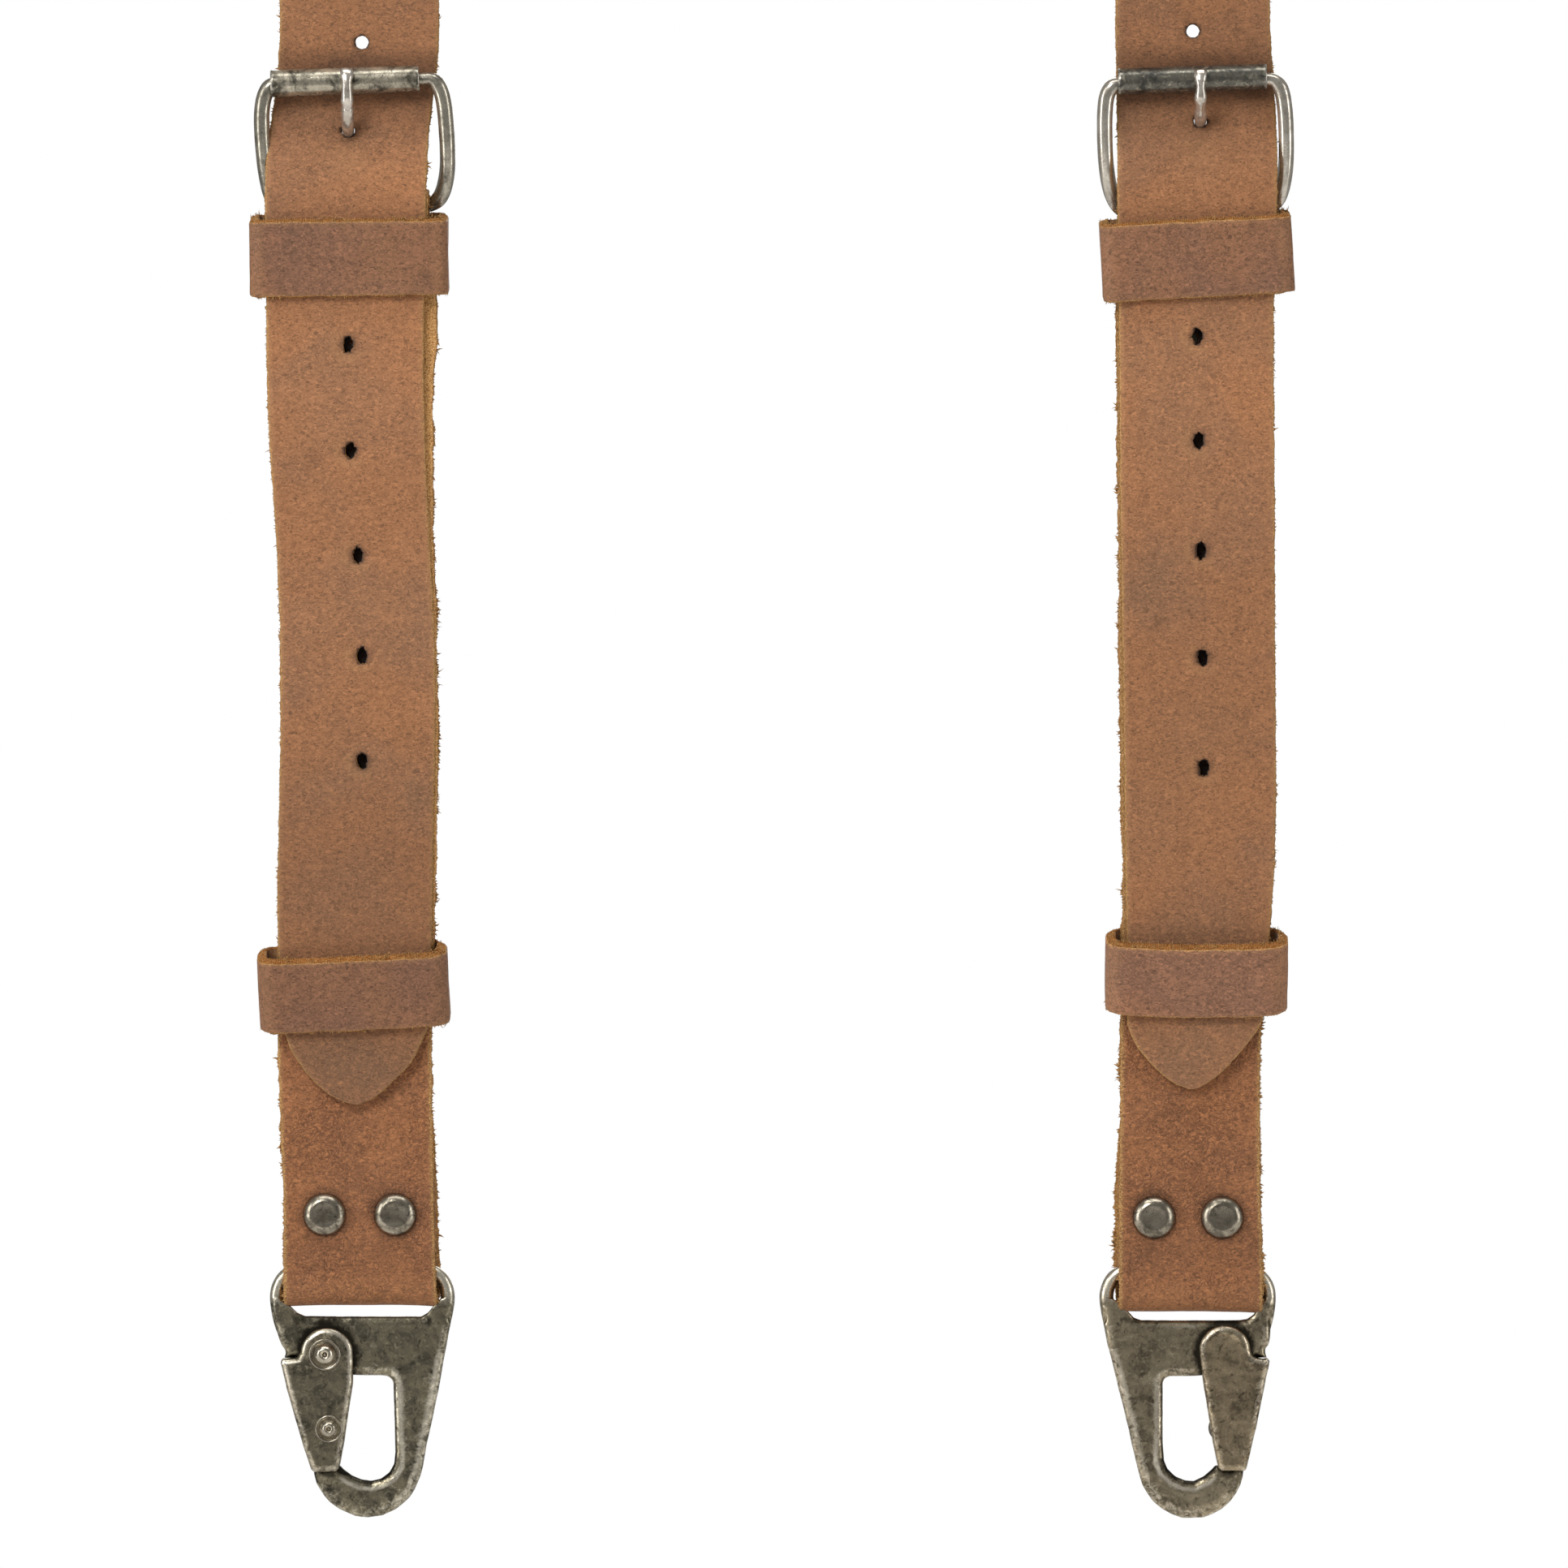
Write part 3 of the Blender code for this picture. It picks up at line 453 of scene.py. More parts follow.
def metal(name, dark, mid, bright, rough=(0.24, 0.52), grime_and_shade=(30, 27, 22), patina=1.0, wearing=1.0, fleck=(170, 160, 138), cloud=4.2, bump=1.0, metallic=1.0):
    """Antique nickel: dark patina in clouds, rubbed through to bright metal on the edges; on the hooks the edge
    attribute also carries painted highlights and painted shade.
    """
    m = Mat(name)
    broad = m.noise(cloud, 4.0, 0.66, 0.8)
    speck = m.noise(1.1, 3.0, 0.68, 0.8)
    tiny = m.noise(0.34, 2.0, 0.6)
    c = m.mix(m.span(broad, 0.38, 0.62), shade(dark), shade(mid))
    c = m.mix(m.span(speck, 0.53, 0.72, 0.0, 0.62 * patina), c, shade(fleck))
    c = m.mix(m.span(speck, 0.46, 0.28, 0.0, 0.72 * patina), c, shade(grime_and_shade))
    # the edge attribute: rubbed edges and patina in hollows, and on the hooks painted highlights and painted shade
    w = m.math("ADD", m.attr("wear_and_painted_light"), m.math("MULTIPLY", m.math("SUBTRACT", speck, 0.5), 0.55))
    c = m.mix(m.span(w, 0.58, 0.95, 0.0, 0.95 * wearing), c, shade(bright))
    c = m.mix(m.span(w, 0.42, 0.08, 0.0, 0.92), c, shade(grime_and_shade))
    m.color(c)
    r = m.span(m.math("ADD", speck, broad), 0.75, 1.25, rough[1], rough[0])
    r = m.math("SUBTRACT", r, m.span(w, 0.6, 1.0, 0.0, 0.08))
    n = m.bump(m.math("ADD", m.math("MULTIPLY", speck, 0.75), m.math("MULTIPLY", tiny, 0.25)), 0.30 * bump, 0.10)
    return m.done(n, r, Metallic=metallic)


M_STRAP = leather("strap_leather", (160, 110, 74), nap=0.62, contrast=1.42, cloud=0.85, grey=(134, 103, 78))
M_HOOKSTRAP = leather("hook_strap_leather", (160, 106, 68), nap=0.68, pebble=2.2, contrast=1.6, cloud=0.9, warm=(172, 112, 66), grey=(132, 90, 60))
M_KEEPER = leather("keeper_leather", (142, 99, 73), nap=0.66, contrast=1.65, cloud=1.0, warm=(158, 112, 74), grey=(120, 92, 76))
M_YOKE = leather("yoke_leather", (156, 110, 79), nap=0.8)
M_EDGE = cut_edge("cut_edge", (176, 124, 72), (112, 68, 32), (214, 168, 108))
M_EDGE_DARK = cut_edge("keeper_cut_edge", (162, 100, 46), (84, 44, 16), (208, 148, 84))
M_FLESH = flesh("flesh_side", (168, 122, 82), (120, 80, 50), (202, 160, 116))
M_HOOK = metal("hook_metal", (86, 82, 70), (142, 134, 112), (238, 230, 210), rough=(0.24, 0.46), patina=1.15, fleck=(186, 176, 150), cloud=5.0)
M_HOOK_WARM = metal("hook_metal_warm", (100, 92, 76), (160, 148, 124), (240, 230, 210), rough=(0.24, 0.46), patina=1.1, fleck=(196, 182, 154), cloud=5.0)
M_GATE = metal("gate_metal", (82, 78, 66), (136, 128, 108), (240, 230, 210), rough=(0.24, 0.46), patina=1.15, fleck=(178, 168, 142), cloud=4.6)
M_GATE_WARM = metal("gate_metal_warm", (98, 88, 72), (166, 150, 122), (240, 230, 210), rough=(0.24, 0.46), patina=1.1, fleck=(196, 180, 150), cloud=4.6)
M_BUCKLE = metal("buckle_metal", (134, 128, 115), (186, 179, 163), (242, 238, 228), rough=(0.18, 0.34), patina=0.7, bump=0.6, metallic=0.85)
# a lighter copy of the buckle metal for the right buckle wire: painted light
M_BUCKLE_PAINTED_LIGHT = metal("buckle_metal_painted_light", (178, 171, 158), (216, 209, 196), (248, 243, 234), rough=(0.15, 0.30), patina=0.5, bump=0.6, metallic=0.85)
M_ROLLER = metal("roller_metal", (86, 82, 71), (204, 195, 174), (248, 242, 228), rough=(0.18, 0.36), patina=1.2, cloud=5.0, metallic=0.72)
# a darker copy of the roller metal for the right roller: painted shade
M_ROLLER_PAINTED_SHADE = metal("roller_metal_painted_shade", (66, 65, 60), (112, 109, 99), (222, 216, 202), rough=(0.20, 0.38), patina=1.1, cloud=6.0, metallic=0.7)
M_PRONG = metal("prong_metal", (190, 181, 168), (224, 216, 204), (250, 244, 236), rough=(0.14, 0.28), patina=0.4, bump=0.6, metallic=0.8)
M_RIVET = metal("rivet_metal", (112, 105, 92), (176, 167, 150), (240, 233, 218), rough=(0.19, 0.36), patina=0.95, wearing=0.7, bump=0.8)
M_PIN = metal("pin_metal", (150, 142, 126), (200, 191, 173), (242, 235, 220), rough=(0.16, 0.28), patina=0.5, wearing=0.8, bump=0.3)
M_SPRING = metal("spring_metal", (107, 106, 102), (140, 138, 132), (208, 206, 200))
M_FIBRE = cut_edge("edge_fibre", (200, 148, 90), (150, 102, 54), (232, 190, 130))


def take(obj, body, slot, *nodes):
    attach(obj, body)
    if nodes:
        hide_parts(*nodes)
    return obj


# ------------------------------------------------------------------ fibres on cut edges
def fibres(name, P, D, L, W, rng):
    n = len(P)
    side = unit(np.cross(D, rng.normal(size=(n, 3))))
    up = np.cross(D, side)
    bend = unit(rng.normal(size=(n, 3))) * L[:, None] * 0.45
    V = np.zeros((n, 7, 3))
    for k in range(3):
        a = 2 * math.pi * k / 3
        off = (math.cos(a) * side + math.sin(a) * up) * W[:, None]
        V[:, k] = P - D * 0.12 + off
        V[:, 3 + k] = P + D * (L * 0.55)[:, None] + bend * 0.25 + off * 0.7
    V[:, 6] = P + D * L[:, None] + bend
    base = (np.arange(n) * 7)[:, None]
    quads = np.array([[0, 1, 4, 3], [1, 2, 5, 4], [2, 0, 3, 5]])
    tris = np.array([[3, 4, 6], [4, 5, 6], [5, 3, 6], [0, 2, 1]])
    Q = (base[:, :, None] + quads[None]).reshape(-1, 4)
    T = (base[:, :, None] + tris[None]).reshape(-1, 3)
    return build(name, V.reshape(-1, 3), [Q, T], [M_FIBRE])


# ------------------------------------------------------------------ straps
def strap_solid(name, C, Sd, N, wl, wr, mats, seed, t=STRAP_T, attrs=None, rough=0.16, wave=0.10, fuzz=None, front_step=1.0, warp=None):
    """A strap with a rounded, ragged-edged section swept along stations.

    C centre, Sd side (towards the right edge), N the grain side, wl and wr half widths."""
    n = len(C)
    r = 0.38
    K = int(max(8, round((np.max(wl) + np.max(wr)) / front_step)))
    h = t / 2
    A, B, kind, fr = [], [], [], []
    wl, wr = np.asarray(wl, float), np.asarray(wr, float)
    rr = np.minimum(r, 0.45 * np.minimum(wl, wr))

    def col(a, b, k, f):
        A.append(a)
        B.append(np.full(n, b) if np.isscalar(b) else b)
        kind.append(k)
        fr.append(f)

    for k in range(K + 1):
        f = k / K
        col(-(wl - rr) + f * (wl + wr - 2 * rr), h, 0, f)
    for ang in (35, 68):
        g = math.radians(ang)
        col(wr - rr + rr * math.sin(g), h - rr * (1 - math.cos(g)), 1, 1)
    for b in (0.5, 0.0, -0.5):
        col(wr, b * (h * 1.2), 2, 1)
    col(wr - rr * 0.2, -h + rr * 0.3, 2, 1)
    KB = max(6, K // 2)
    for k in range(KB + 1):
        f = 1 - k / KB
        col(-(wl - rr) + f * (wl + wr - 2 * rr), -h, 3, f)
    col(-(wl - rr * 0.2), -h + rr * 0.3, -2, 0)
    for b in (-0.5, 0.0, 0.5):
        col(-wl, b * (h * 1.2), -2, 0)
    for ang in (68, 35):
        g = math.radians(ang)
        col(-(wl - rr + rr * math.sin(g)), h - rr * (1 - math.cos(g)), -1, 0)
    A, B = np.array(A).T, np.array(B).T
    kind, fr = np.array(kind), np.array(fr)
    m = A.shape[1]
    P0 = C[:, None] + A[..., None] * Sd[:, None] + B[..., None] * N[:, None]
    edge = fbm(P0, 1.7, seed, 3) * rough + fbm(P0, 7.0, seed + 5, 2) * rough * 0.8
    dA = np.zeros_like(A)
    dA[:, np.abs(kind) == 2] = (edge * np.sign(kind)[None])[:, np.abs(kind) == 2]
    dA[:, np.abs(kind) == 1] = (edge * 0.55 * np.sign(kind)[None])[:, np.abs(kind) == 1]
    dB = np.where((kind == 0) | (np.abs(kind) == 1), 1.0, 0.0)[None] * (fbm(P0, 14.0, seed + 9, 2) * wave)
    dB = dB + np.where(kind == 0, 1.0, 0.0)[None] * fbm(P0, 2.2, seed + 3, 2) * 0.035
    dB = dB + np.where(kind == 3, 1.0, 0.0)[None] * fbm(P0, 2.0, seed + 4, 2) * 0.06
    extra = {}
    if attrs:
        for key, fn in attrs.items():
            extra[key] = fn(P0, A, kind)
    if "dent" in extra:
        dB = dB + extra.pop("dent")
    V = P0 + dA[..., None] * Sd[:, None] + dB[..., None] * N[:, None]
    F = ring_faces(n, m)
    flat = V.reshape(-1, 3)
    if volume(flat, F) < 0:
        F = F[:, ::-1]
        caps = [np.arange(m).tolist(), (np.arange(m) + (n - 1) * m)[::-1].tolist()]
    else:
        caps = [np.arange(m)[::-1].tolist(), (np.arange(m) + (n - 1) * m).tolist()]
    kj = np.tile(kind, n - 1)
    nxt = np.tile(np.roll(kind, -1), n - 1)
    mi = np.where((np.abs(kj) == 2) | (np.abs(nxt) == 2), 1, np.where((kj == 3) & (nxt == 3), 2, 0))
    mi = np.r_[mi, 1, 1]
    near = np.minimum(wl[:, None] + A, wr[:, None] - A)
    pale = np.clip(1 - near / 0.9, 0, 1) * np.where(np.isin(kind, (0, 1, -1)), 1.0, 0.0)[None]
    base = {"darkening_and_painted_shade": np.zeros_like(A), "pale": pale, "tint": np.zeros_like(A), "raw": np.zeros_like(A), "tone_and_painted_light": np.ones_like(A)}
    if "tone_and_painted_light" in extra:
        base["tone_and_painted_light"] = extra.pop("tone_and_painted_light") * np.ones_like(A)
    for key, v in extra.items():
        base[key] = np.clip(base[key] + v, 0, 1) if key in base else v
    if warp:
        V = warp(V)
        flat = V.reshape(-1, 3)
    obj = build(name, flat, [F, caps], mats, mi, base, angle=50)
    if fuzz:
        rng = np.random.default_rng(seed)
        obj_f = []
        lo, hi, per_mm, length, thick = fuzz
        T = unit(np.gradient(C, axis=0))
        step = np.linalg.norm(np.diff(C, axis=0), axis=1).mean()
        sel = np.arange(n)[(np.arange(n) * step >= lo) & (np.arange(n) * step <= hi)]
        count = int(len(sel) * step * per_mm * 2)
        i = rng.choice(sel[:-1], count)
        sgn = rng.choice([-1.0, 1.0], count)
        b = rng.uniform(-0.85, 0.85, count) * h
        a = np.where(sgn > 0, wr[i], -wl[i])
        P = C[i] + a[:, None] * Sd[i] + b[:, None] * N[i] + T[i] * rng.uniform(0, step, count)[:, None]
        e = (fbm(P, 1.7, seed, 3) + fbm(P, 7.0, seed + 5, 2) * 0.8) * rough
        P = P + (sgn * e)[:, None] * Sd[i]
        if warp:
            P = warp(P)
        # outward direction of the outline, which turns where the strap narrows to its point
        w = np.where(sgn > 0, wr[i], wl[i])
        dw = np.where(sgn > 0, np.gradient(wr)[i], np.gradient(wl)[i]) / max(step, 1e-6)
        out = unit(sgn[:, None] * Sd[i] - dw[:, None] * T[i])
        clump = np.clip(0.55 + 0.9 * vnoise(P, 2.2, seed + 31), 0.15, 1.6)
        D = unit(out + T[i] * rng.normal(0, 0.75, count)[:, None] + N[i] * rng.normal(0, 0.45, count)[:, None])
        L = length * clump * rng.gamma(2.0, 0.5, count)
        W = rng.uniform(0.05, 0.15, count) * thick
        return obj, fibres(name + "_edge_fibres", P, D, np.clip(L, 0.08, 1.6), W, rng)
    return obj, None


def strap_y(z):
    t = np.clip((z - 269.0) / (286.5 - 269.0), 0, 1)
    return UPPER_Y * (1 - t * t * (3 - 2 * t))


def drift(u):
    u = np.asarray(u, float)
    out = np.zeros_like(u)
    k = (u > LEAN_FROM)
    q = np.linspace(0, 1, 81)
    for i in np.flatnonzero(k):
        s = LEAN_FROM + (u.flat[i] - LEAN_FROM) * (q[:-1] + q[1:]) / 2
        out.flat[i] = np.tan(LEAN * np.clip((s - LEAN_FROM) / LEAN_OVER, 0, 1)).mean() * (u.flat[i] - LEAN_FROM)
    return out


def over_rail(x, u):
    x, u = np.broadcast_arrays(np.asarray(x, float), np.asarray(u, float))
    turn = np.clip((u - RAIL_Z) / RAIL_R, 0, math.pi)
    past = np.maximum(u - RAIL_Z - math.pi * RAIL_R, 0)
    y = np.where(u <= RAIL_Z, strap_y(u), RAIL_R - RAIL_R * np.cos(turn))
    z = np.where(u <= RAIL_Z, u, RAIL_Z + RAIL_R * np.sin(turn) - past)
    return np.stack([x, y, z], -1)


# Front outlines of the two shoulder straps: left and right edge at heights down the front.
EDGES = {
    "left": (
        [-60, 0, 60, 100, 132, 160, 185, 222, 262, 367, 443, 510, 607, 660, 757, 830, 927, 1043, 1143, 1240, 1275],
        [345, 345, 345.5, 343, 337, 331, 328.5, 326.5, 327, 329, 329, 330.5, 336.5, 341.5, 345.5, 346.5, 346, 343.5, 342, 347, 352],
        [541, 541, 541, 539, 531, 527.5, 526, 525.5, 526, 522.5, 522.5, 523, 526.5, 529.5, 535, 537.5, 537, 534, 533.5, 530, 527],
    ),
    "right": (
        [-60, 0, 75, 125, 162, 188, 250, 377, 560, 757, 900, 1027, 1127, 1200, 1255],
        [1376, 1375.5, 1374, 1377, 1376.5, 1376, 1376.5, 1379, 1379.5, 1382.5, 1385, 1386, 1387.5, 1388.5, 1390],
        [1564, 1564.5, 1566, 1571, 1573.5, 1574, 1573.5, 1568.5, 1570, 1570.5, 1571.5, 1572, 1566.5, 1560, 1553],
    ),
}
TIPS = {"left": (440.0, 1360.3, 1275.0), "right": (1467.0, 1341.3, 1262.0)}
POINTS = {  # the two sides of each pointed end, top to bottom
    "left": (
        [(351.5, 1262), (352.5, 1275), (358, 1292), (366, 1305), (377, 1320), (391, 1335.5), (404, 1347), (415, 1353.5), (427, 1358), (436, 1360)],
        [(527, 1262), (525, 1270), (521, 1281), (515, 1295), (508, 1308), (497, 1320), (485, 1332), (471, 1345.5), (458, 1354.5), (444, 1360)],
    ),
    "right": (
        [(1388, 1250), (1389, 1262), (1394, 1277), (1403, 1292), (1415, 1307), (1426, 1318.5), (1438, 1329), (1448, 1335), (1458, 1339), (1463, 1341)],
        [(1555, 1250), (1553.5, 1260), (1546, 1273), (1535, 1288.5), (1522, 1303), (1511, 1315), (1499, 1326), (1489, 1333), (1479, 1339), (1471, 1341)],
    ),
}
# where the keepers' upper rims shade the strap at rest
RIMS = {
    "left": (((320, 361, 454, 527, 546), (1183, 1181, 1175, 1161, 1154), 0.06), ((300, 560), (266, 262), 0.06)),
    "right": (((1380, 1465, 1520, 1561, 1575), (1160, 1162, 1159, 1151, 1143), 0.06), ((1370, 1590), (272, 260), 0.06)),
}
# how light the leather is down the front of each strap, with the painted shade under the roller in it
TONE_AND_SHADE = {
    "left": ([-400, 0, 40, 120, 160, 220, 300, 480, 620, 750, 880, 960, 1060, 1160, 1290, 1370], [155, 149, 151, 141, 150, 162, 158, 162, 154, 158, 153, 147, 140, 145, 140, 138]),
    "right": ([-400, 0, 40, 110, 160, 220, 300, 480, 620, 720, 800, 905, 1060, 1150, 1290, 1350], [155, 146, 145, 138, 148, 157, 158, 165, 160, 152, 152, 150, 154, 151, 154, 153]),
}
HOLES = {
    "left": [(446, 52, 0), (429.3, 425, 1), (432.7, 555, 1), (441.7, 683.5, 1), (446.7, 807.5, 1), (446.7, 938, 1)],
    "right": [(1470, 38, 0), (1475, 414.5, 1), (1476.7, 543, 1), (1480, 678.5, 1), (1482, 810, 1), (1483.3, 945.7, 1)],
}
PRONG_AT = {"left": (429.5, 168.0), "right": (1479.0, 156.0)}
YOKE_RIVETS_U = (776.0, 800.0)
cutters = []


def cylinder_cutter(name, centre, axis, rx, ry, length, seed, sides=20, ragged=0.10):
    rng = np.random.default_rng(seed)
    axis = unit(np.asarray(axis, float))
    up = np.array([0.0, 0.0, 1.0]) if abs(axis[2]) < 0.9 else np.array([0.0, 1.0, 0.0])
    a = unit(np.cross(up, axis))
    b = np.cross(axis, a)
    th = np.linspace(0, 2 * math.pi, sides, endpoint=False)
    wob = 1 + rng.normal(0, ragged, sides)
    ring = (np.cos(th) * rx * wob)[:, None] * a + (np.sin(th) * ry * wob)[:, None] * b
    ends = [centre - axis * length / 2, centre + axis * length / 2]
    V = np.vstack([ring + e for e in ends])
    F = np.stack([np.arange(sides), (np.arange(sides) + 1) % sides, (np.arange(sides) + 1) % sides + sides, np.arange(sides) + sides], 1)
    if volume(V, F) < 0:
        F = F[:, ::-1]
        caps = [list(range(sides)), list(range(sides, 2 * sides))[::-1]]
    else:
        caps = [list(range(sides))[::-1], list(range(sides, 2 * sides))]
    return V, F, caps


def join_parts(parts):
    V, F, C, off = [], [], [], 0
    for v, f, caps in parts:
        V.append(v)
        F.append(f + off)
        C += [[i + off for i in c] for c in caps]
        off += len(v)
    return np.vstack(V), np.vstack(F), C


def punch(obj, parts):
    V, F, caps = join_parts(parts)
    cutter = build(obj.name + "_punch", V, [F, caps], [M_EDGE], angle=30)
    mod = obj.modifiers.new("Punch", "BOOLEAN")
    mod.operation = "DIFFERENCE"
    mod.solver = "EXACT"
    mod.object = cutter
    evaluated(obj)
    me = cutter.data
    bpy.data.objects.remove(cutter, do_unlink=True)
    bpy.data.meshes.remove(me)
    return obj


def rivet_holes_u(centre, inward):
    out = []
    for u in YOKE_RIVETS_U:
        x = centre + inward * float(drift(np.array([u]))[0])
        out.append(over_rail(x, u))
    return out


def shoulder(side, centre, inward):
    ys, ls, rs = EDGES[side]
    tip_x, tip_y, tip_from = TIPS[side]
    zt, zf = float(sz(tip_y)), float(sz(tip_from))
    stations = np.unique(np.concatenate([
        zt + (zf - zt) * np.linspace(0, 1, 44) ** 1.5,
        np.arange(zf, 330.0, 0.55),
        np.arange(330.0, STRAP_END_U, 1.6),
        [STRAP_END_U],
    ]))
    zz = sz(ys)[::-1]
    le, re = sx(ls)[::-1], sx(rs)[::-1]
    k = 3.0  # smooth the outline tables
    def smooth(v):
        q = np.linspace(-9, 9, 13)
        return np.mean([np.interp(stations + d, zz, v) for d in q], 0)
    L, R = smooth(le), smooth(re)
    mid, half = (L + R) / 2, (R - L) / 2
    # above the front outline tables the strap runs back to its plain width and centre
    blend = np.clip((stations - 312.0) / 60.0, 0, 1)
    blend = blend * blend * (3 - 2 * blend)
    mid = mid * (1 - blend) + centre * blend
    half = half * (1 - blend) + 16.0 * blend
    # pointed end: two bowed edges that meet in a small rounded point
    tl, tr = POINTS[side]
    inside = stations < zf
    lx = np.interp(stations, sz([p[1] for p in tl])[::-1], sx([p[0] for p in tl])[::-1])
    rx = np.interp(stations, sz([p[1] for p in tr])[::-1], sx([p[0] for p in tr])[::-1])
    ease = np.clip((stations - zf) / 3.0, 0, 1)
    mid = (lx + rx) / 2 * (1 - ease) + mid * ease
    half = np.maximum((rx - lx) / 2, 0.3) * (1 - ease) + half * ease
    a = LEAN * np.clip((stations - LEAN_FROM) / LEAN_OVER, 0, 1)
    cx = mid + inward * drift(stations)
    C = over_rail(cx, stations)
    e = 0.5
    p1 = over_rail(cx + e * np.cos(a), stations - e * inward * np.sin(a))
    p0 = over_rail(cx - e * np.cos(a), stations + e * inward * np.sin(a))
    Sd = unit(p1 - p0)
    T = unit(np.gradient(C, axis=0))
    N = unit(np.cross(Sd, T))
    seed = 100 if side == "left" else 200
    holes = [np.array([sx(x), 0, sz(y)], float) for x, y, _ in HOLES[side]]
    px, py = PRONG_AT[side]
    prong = np.array([float(sx(px)), 0.0, float(sz(py))])

    def dist(P, c):
        return np.hypot(P[..., 0] - c[0], P[..., 2] - c[2]) + np.where(P[..., 1] > 12, 100, 0)

    def darkening_and_painted_shade(P, A, kind):
        v = np.zeros(P.shape[:2])
        # painted shade in and round the adjusting holes, with some darkening from use
        for c in holes[1:]:
            v = v + 0.55 * np.exp(-((dist(P, c) / 1.9) ** 4))
        # painted shade inside the first hole, and round the prong where it leaves the strap
        v = v + 0.45 * np.exp(-((dist(P, holes[0]) / 1.75) ** 6))
        v = v + 0.40 * np.exp(-((dist(P, prong + [0, 0, 0.6]) / 2.2) ** 2))
        # painted shade: a faint line above each keeper's upper rim, and the roller's shadow on the strap above and
        # below the roller
        rims = RIMS[side]
        for (px, py, k) in rims:
            edge_z = np.interp(P[..., 0], sx(px), sz(py))
            up_ = P[..., 2] - edge_z
            v = v + k * np.exp(-np.clip(up_, 0, 99) / 0.8) * (up_ > -3) * (P[..., 1] < 12) * (kind == 0)[None]
        off = np.abs(P[..., 2] - ROLLER_Z)
        v = v + 0.50 * np.exp(-(((P[..., 2] - ROLLER_Z - 0.9) / 5.2) ** 4)) * (P[..., 1] < 12) * np.clip(0.75 + 0.5 * vnoise(P, 5.0, seed + 6), 0, 1)
        return v

    def pale(P, A, kind):
        v = 0.34 * np.exp(-((dist(P, prong - [0, 0, 4.4]) / 3.6) ** 2)) * (kind == 0)[None]
        for c in holes[1:]:
            d = dist(P, c)
            low = np.clip(0.5 - ((P[..., 0] - c[0]) + (P[..., 2] - c[2])) / 4.0, 0, 1)
            v = v + 0.55 * np.exp(-(((d - 2.7) / 0.8) ** 2)) * low
        return v

    def tint(P, A, kind):
        z, x = P[..., 2], P[..., 0]
        v = 0.12 * np.clip(0.1 + vnoise(P, 30.0, seed + 8), 0, 1)
        v = v + 0.55 * np.clip((106 - z) / 12, 0, 1)
        spots = [(1410, 715, 45, 60, 0.95), (1400, 1010, 60, 60, 0.4), (1500, 905, 60, 40, 0.35)] if side == "right" else [(512, 985, 22, 40, 0.8), (395, 970, 45, 22, 0.5), (520, 740, 26, 70, 0.5), (440, 1120, 90, 60, 0.35)]
        for px, py, rx, ry, k in spots:
            v = v + k * np.exp(-(((x - sx(px)) / (rx * S)) ** 2) - (((z - sz(py)) / (ry * S)) ** 2)) * np.clip(0.8 + 0.6 * vnoise(P, 6.0, seed + 2), 0, 1)
        return np.clip(v, 0, 1) * (P[..., 1] < 12)

    # brightness down the front from the table: leather tone, with the painted shade under the roller
    def tone_and_painted_light(P, A, kind):
        ys, vs = TONE_AND_SHADE[side]
        t = np.interp(P[..., 2], sz(ys)[::-1], (np.array(vs, float)[::-1] / 159.0) ** 2.2)
        return np.where(P[..., 1] < 12, t, 0.9) * np.ones_like(A)

    def raw(P, A, kind):
        near = np.minimum(half[:, None] + A, half[:, None] - A)
        return np.where(np.isin(kind, (0, 1, -1))[None], 0.8 * np.clip(1.1 - near / 0.55, 0, 1), 0)

    def dent(P, A, kind):
        v = np.zeros(P.shape[:2])
        for c in holes[1:]:
            v = v - 0.22 * np.exp(-((dist(P, c) / 1.9) ** 2))
        v = v - 0.35 * np.exp(-((dist(P, prong + [0, 0, 0.5]) / 3.2) ** 2))
        return v * (kind != 3)[None]

    obj, fz = strap_solid(
        "shoulder_strap_leather_" + side, C, Sd, N, half, half, [M_STRAP, M_EDGE, M_FLESH], seed,
        attrs={"darkening_and_painted_shade": darkening_and_painted_shade, "pale": pale, "tint": tint, "dent": dent, "tone_and_painted_light": tone_and_painted_light, "raw": raw}, rough=0.17,
        fuzz=(0.0, 780.0, 3.2, 0.25, 1.5),
    )
    parts = []
    for k, c in enumerate(holes):
        y = float(strap_y(c[2]))
        rx, ry = ((1.32, 1.32) if k == 0 else (1.0, 1.62))
        parts.append(cylinder_cutter("h", np.array([c[0], y, c[2]]), (0.06 if k else 0, 1, 0.05), rx, ry, 6.0, seed + k, ragged=0.03 if k == 0 else 0.09))
    parts.append(cylinder_cutter("p", np.array([prong[0], -1.0, prong[2] + 1.15]), np.array([0.0, -1.0, 0.05]), 1.32, 1.32, 7.0, seed + 20, ragged=0.02))
    for c in rivet_holes_u(centre, inward):
        parts.append(cylinder_cutter("r", c, (0, 1, 0), 1.8, 1.8, 8.0, seed + 40, ragged=0.0))
    punch(obj, parts)
    take(obj, "straps", "strap_leather", "shoulder_strap_" + side)
    take(fz, "straps", "strap_leather")
    return obj


